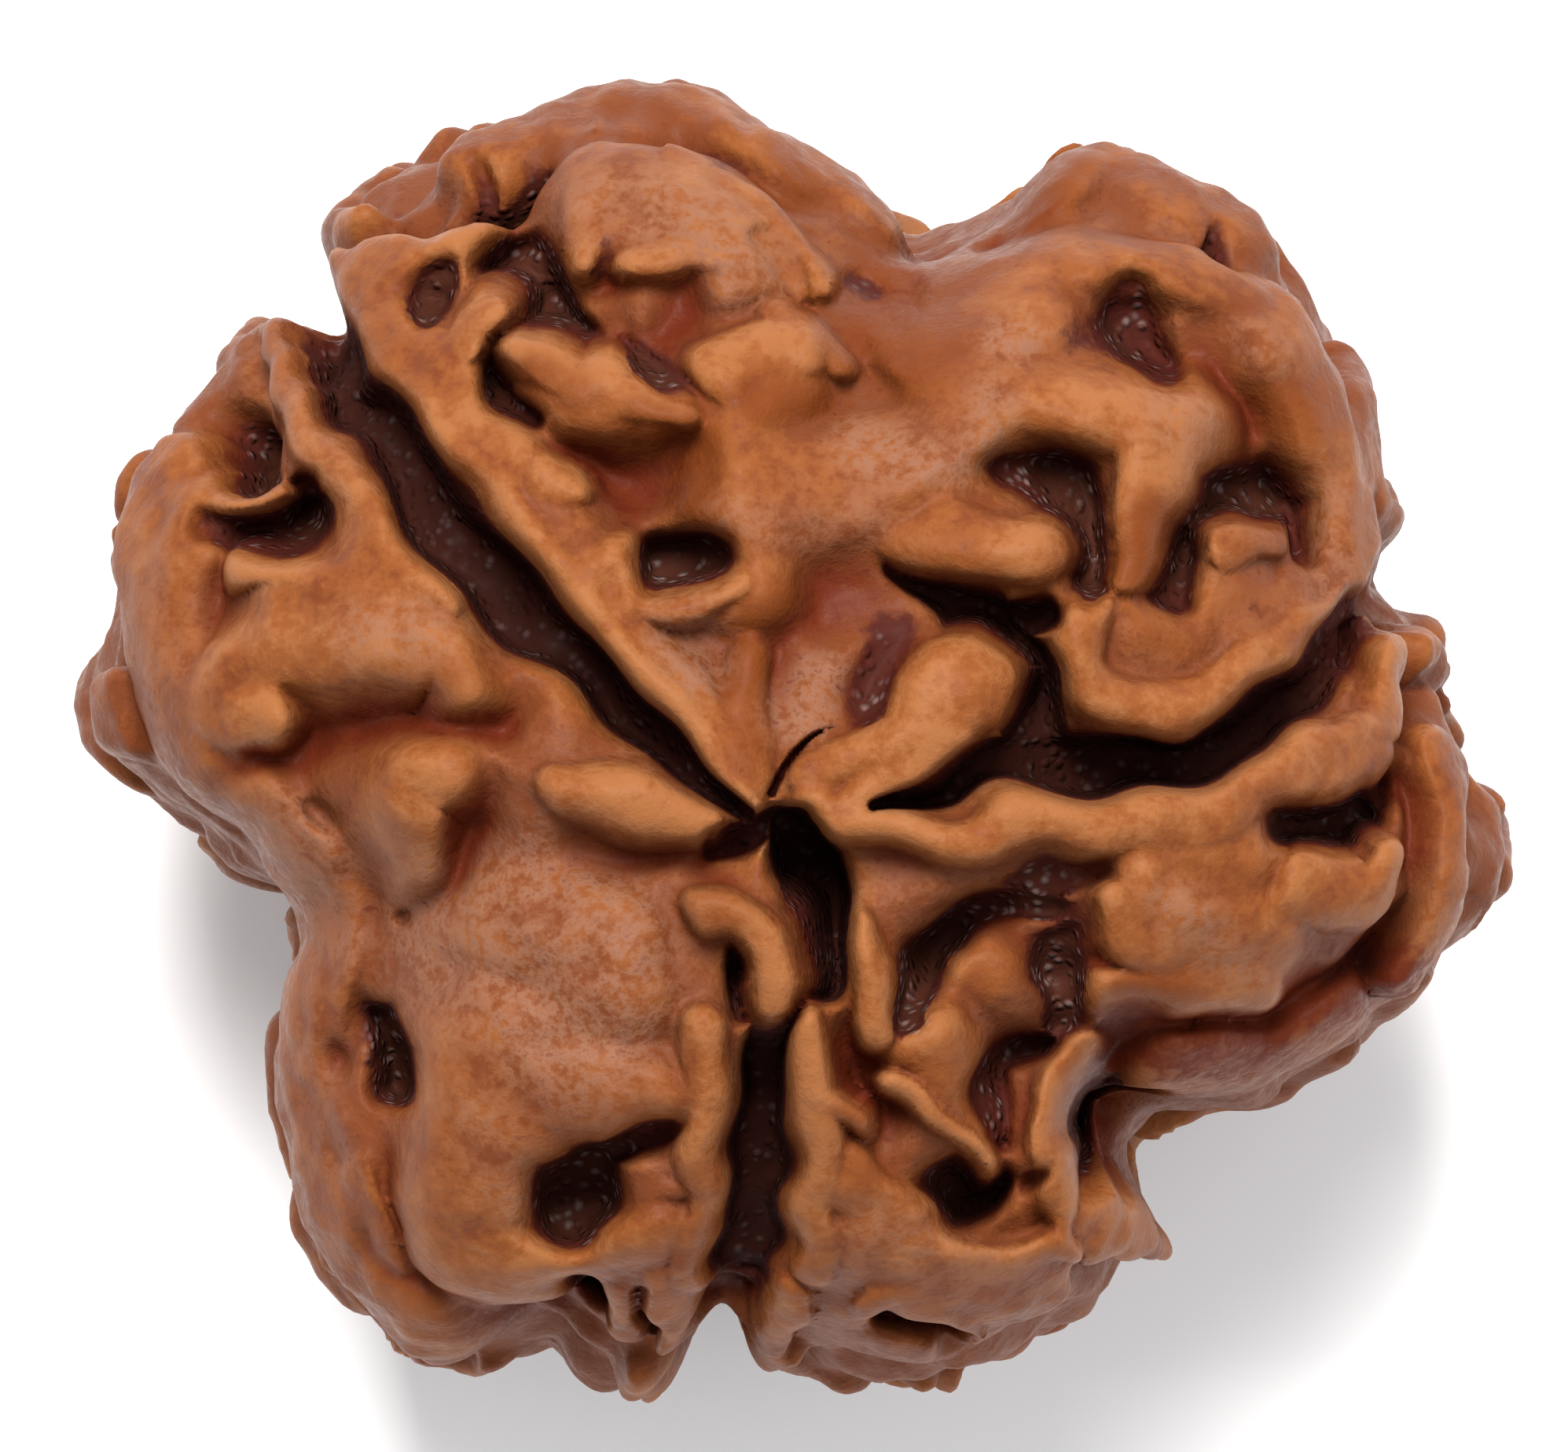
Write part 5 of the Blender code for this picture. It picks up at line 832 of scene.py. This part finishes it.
def bead_wood():
    """Oiled wood: caramel ridges with painted highlights on their crests, dusty pink-brown ground, red-brown
    walls and near-black, grainy pits, partly painted shade.
    """
    material = bpy.data.materials.new("bead_wood")
    material.use_nodes = True
    tree = material.node_tree
    shader = tree.nodes["Principled BSDF"]
    link = tree.links.new

    def add(kind, **values):
        """A node of a kind, with its properties and its plain input values."""
        node = tree.nodes.new(kind)
        for name, value in values.items():
            if name in node.inputs:
                node.inputs[name].default_value = value
            else:
                setattr(node, name, value)
        return node

    def ranged(source, low, high, to_low=0.0, to_high=1.0):
        node = add("ShaderNodeMapRange", interpolation_type="SMOOTHSTEP")
        for name, value in zip(("From Min", "From Max", "To Min", "To Max"), (low, high, to_low, to_high)):
            node.inputs[name].default_value = value
        link(source, node.inputs["Value"])
        return node.outputs["Result"]

    def maths(operation, first, second):
        node = add("ShaderNodeMath", operation=operation)
        for socket, value in zip(node.inputs, (first, second)):
            if isinstance(value, (int, float)):
                socket.default_value = value
            else:
                link(value, socket)
        return node.outputs["Value"]

    def total(first, *others):
        for other in others:
            first = maths("ADD", first, other)
        return first

    def less(first, second):
        return maths("SUBTRACT", first, second)

    def times(first, second):
        return maths("MULTIPLY", first, second)

    def swing(source, size):
        """A noise about its middle, so that it darkens as often as it lightens."""
        return times(less(source, 0.5), size)

    def mixed(mask, first, second):
        node = add("ShaderNodeMix", data_type="RGBA")
        link(mask, node.inputs["Factor"])
        for socket, value in ((node.inputs["A"], first), (node.inputs["B"], second)):
            if isinstance(value, tuple):
                socket.default_value = (*value, 1.0)
            else:
                link(value, socket)
        return node.outputs["Result"]

    coordinates = add("ShaderNodeTexCoord")
    in_mm = add("ShaderNodeMapping", Scale=(1 / MM, 1 / MM, 1 / MM))
    link(coordinates.outputs["Object"], in_mm.inputs["Vector"])

    def noise(scale, detail, roughness=0.55):
        node = add("ShaderNodeTexNoise", Scale=scale, Detail=detail, Roughness=roughness)
        link(in_mm.outputs["Vector"], node.inputs["Vector"])
        return node.outputs["Fac"]

    hollow, pit, ridge, cleft, drawn_bloom_and_highlight, shade_patched, grime_shaded, edge, stand, halo = [
        add("ShaderNodeAttribute", attribute_name=name).outputs["Fac"] for name in MARKS]
    broad, mottle, fine, grit = noise(0.32, 3), noise(1.1, 6, 0.62), noise(5.0, 5, 0.65), noise(14.0, 3)
    axes = add("ShaderNodeSeparateXYZ")
    link(in_mm.outputs["Vector"], axes.inputs["Vector"])
    upward = axes.outputs["Z"]

    # Healthy wood, paler and more orange on the ridges. It is lighter where it stands out of the surface
    # around it and palest on small edges, which is painted highlight, and darker where it sinks and browner
    # down the flanks, which is painted shade.
    raised = total(times(stand, 0.45), times(less(ridge, 0.5), 0.55), times(edge, 2.6))
    raised = total(raised, swing(mottle, 2.8), swing(fine, 1.4))
    # Painted shade: browner down the flanks, away from the upper pole.
    raised = less(raised, ranged(upward, 17.5, 11.0, 0.0, 0.35))
    wood = mixed(ranged(raised, -0.45, 0.25), BROWN, CARAMEL)
    wood = mixed(ranged(raised, 0.15, 0.75), wood, CREST)
    wood = mixed(ranged(raised, 0.85, 1.9, 0.0, 0.7), wood, WORN_AND_HIGHLIGHT)

    # Browner patches along the hollows between ridges, which are painted shade, and a pinkish, dusty bloom
    # on the plain ground, one patch of it a painted highlight, with red-brown specks.
    wood = mixed(ranged(total(shade_patched, swing(mottle, 1.2)), 0.25, 0.95, 0.0, 0.85), wood, SHADE_BETWEEN_RIDGES)
    plain = less(1.0, ranged(ridge, 0.2, 0.75))
    bloom_and_highlight = times(ranged(broad, 0.42, 0.60, 0.0, 0.35), ranged(plain, 0.0, 1.0, 0.20, 1.0))
    bloom_and_highlight = maths("MAXIMUM", bloom_and_highlight, ranged(drawn_bloom_and_highlight, 0.1, 0.8))
    bloom_and_highlight = times(bloom_and_highlight, ranged(fine, 0.38, 0.60, 0.10, 0.9))
    bloom_and_highlight = times(bloom_and_highlight, ranged(mottle, 0.34, 0.50, 0.35, 1.0))
    bloom_and_highlight = times(bloom_and_highlight, ranged(upward, 12.0, 17.0, 0.25, 1.0))
    wood = mixed(bloom_and_highlight, wood, DUST_AND_HIGHLIGHT)
    wood = mixed(times(times(ranged(fine, 0.57, 0.68), plain), 0.5), wood, RUST)

    # Red-brown where it sinks and on the rims of the pits, near black in the pits: partly the wood's own
    # colour, partly painted shade.
    speckle = total(swing(mottle, 0.7), swing(fine, 0.9))
    # Painted shade where it sinks below the surface around it, over the wood's own red-brown.
    sunk = total(less(times(hollow, 0.65), stand), speckle)
    wood = mixed(ranged(sunk, 0.15, 0.85, 0.0, 0.95), wood, RUST)
    wood = mixed(ranged(sunk, 0.95, 1.8, 0.0, 0.6), wood, UMBER)
    # Painted shade creeping from the pits up over their rims, kept off the crests.
    creep = total(less(halo, times(edge, 3.5)), times(speckle, 0.3))
    creep = less(creep, ranged(stand, 0.0, 0.5, 0.0, 0.5))
    wood = mixed(ranged(creep, 0.30, 0.90, 0.0, 0.9), wood, RUST)
    # Painted shade that deepens with a pit's depth and with the drawn grime, lighter on crests.
    crested = ranged(total(times(stand, 0.6), times(edge, 3.0)), 0.05, 0.45, 0.0, 1.2)
    depth = total(less(less(pit, times(stand, 0.5)), crested), speckle, times(grime_shaded, 1.3))
    wood = mixed(ranged(depth, 0.50, 1.1), wood, UMBER)
    wood = mixed(ranged(depth, 1.1, 1.9), wood, mixed(ranged(cleft, 0.3, 0.9), GRIME_AND_SHADE, PITCH))

    # Pale grains of dried pulp on the floors, partly painted glints.
    grains = add("ShaderNodeTexVoronoi", Scale=GRAIN_SCALE)
    link(in_mm.outputs["Vector"], grains.inputs["Vector"])
    on_floor = ranged(total(pit, grime_shaded), 0.6, 1.1)
    grain = times(ranged(grains.outputs["Distance"], 0.50, 0.12), on_floor)
    glint = times(grain, ranged(mottle, 0.45, 0.58))
    wood = mixed(times(glint, ranged(cleft, 0.3, 0.9, 0.32, 0.10)), wood, PULP_AND_GLINT)
    link(wood, shader.inputs["Base Color"])

    # Satin where it is handled, matt under dust and grime.
    gloss = total(ranged(fine, 0.35, 0.65, POLISHED, HANDLED), times(bloom_and_highlight, 0.15), times(on_floor, 0.40))
    link(gloss, shader.inputs["Roughness"])
    skin = total(times(fine, 0.35), times(noise(2.2, 3), 0.45), times(grit, 0.12))
    bump = add("ShaderNodeBump", Strength=BUMP_STRENGTH, Distance=BUMP_HEIGHT * MM)
    link(total(skin, times(grain, 0.7)), bump.inputs["Height"])
    link(bump.outputs["Normal"], shader.inputs["Normal"])
    shader.inputs["Specular IOR Level"].default_value = SHEEN
    shader.inputs["Coat Weight"].default_value = OIL
    shader.inputs["Coat Roughness"].default_value = OIL_ROUGHNESS
    return material


bead.data.materials.append(bead_wood())
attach(bead, "root")
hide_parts("rudraksha_bead")

# The ground: a sheet of plain white paper under the bead, far wider than the view.
PAPER_SIDE = 3
PAPER_WHITE = (0.90, 0.90, 0.905, 1.0)
PAPER_ROUGHNESS = 0.9
bpy.ops.object.select_all(action="DESELECT")
bpy.ops.mesh.primitive_plane_add(size=PAPER_SIDE, location=(0, 0, 0))
paper = bpy.context.object
paper.name = "paper"
sheet_white = bpy.data.materials.new("paper_white")
sheet_white.use_nodes = True
sheet_look = sheet_white.node_tree.nodes["Principled BSDF"].inputs
sheet_look["Base Color"].default_value = PAPER_WHITE
sheet_look["Roughness"].default_value = PAPER_ROUGHNESS
paper.data.materials.append(sheet_white)

# The light: a pale room all round, a soft window high beyond the top of the view, and a weak, wider
# fill from its right.
ROOM_COLOUR = (0.97, 0.97, 0.985, 1.0)
ROOM_STRENGTH = 0.76
AIM = Vector((0, 0, 0.01))       # the middle of the bead
world = bpy.data.worlds.new("room")
bpy.context.scene.world = world
world.use_nodes = True
world.node_tree.nodes["Background"].inputs["Color"].default_value = ROOM_COLOUR
world.node_tree.nodes["Background"].inputs["Strength"].default_value = ROOM_STRENGTH


def soft_light(name, place, size, energy, colour):
    """A square area light that looks at the bead."""
    lamp = bpy.data.lights.new(name, "AREA")
    lamp.size = size
    lamp.energy = energy
    lamp.color = colour
    holder = bpy.data.objects.new(name, lamp)
    bpy.context.scene.collection.objects.link(holder)
    holder.location = place
    holder.rotation_euler = (AIM - Vector(place)).to_track_quat("-Z", "Y").to_euler()


soft_light("window", place=(-0.07, 0.72, 1.40), size=0.62, energy=60, colour=(1.0, 0.98, 0.95))
soft_light("fill", place=(1.00, -0.20, 1.40), size=1.20, energy=6.4, colour=(0.95, 0.97, 1.0))

# The camera: it looks straight down on the upper pole through a long lens, from far enough away to
# show the plan nearly undistorted.
VIEW_WIDTH = 0.02369         # what the picture spans from side to side at the bead's middle
CAMERA_DISTANCE = 0.7
PICTURE_MIDDLE = (-0.00013, 0.00022)
SENSOR_WIDTH = 36
NEAREST_SEEN = 0.01
camera = bpy.data.cameras.new("camera")
camera.sensor_width = SENSOR_WIDTH
camera.lens = CAMERA_DISTANCE * SENSOR_WIDTH / VIEW_WIDTH
camera.clip_start = NEAREST_SEEN
eye = bpy.data.objects.new("camera", camera)
bpy.context.scene.collection.objects.link(eye)
eye.location = (*PICTURE_MIDDLE, FOOT * MM + CAMERA_DISTANCE)
bpy.context.scene.camera = eye
bpy.context.scene.view_settings.view_transform = "Standard"
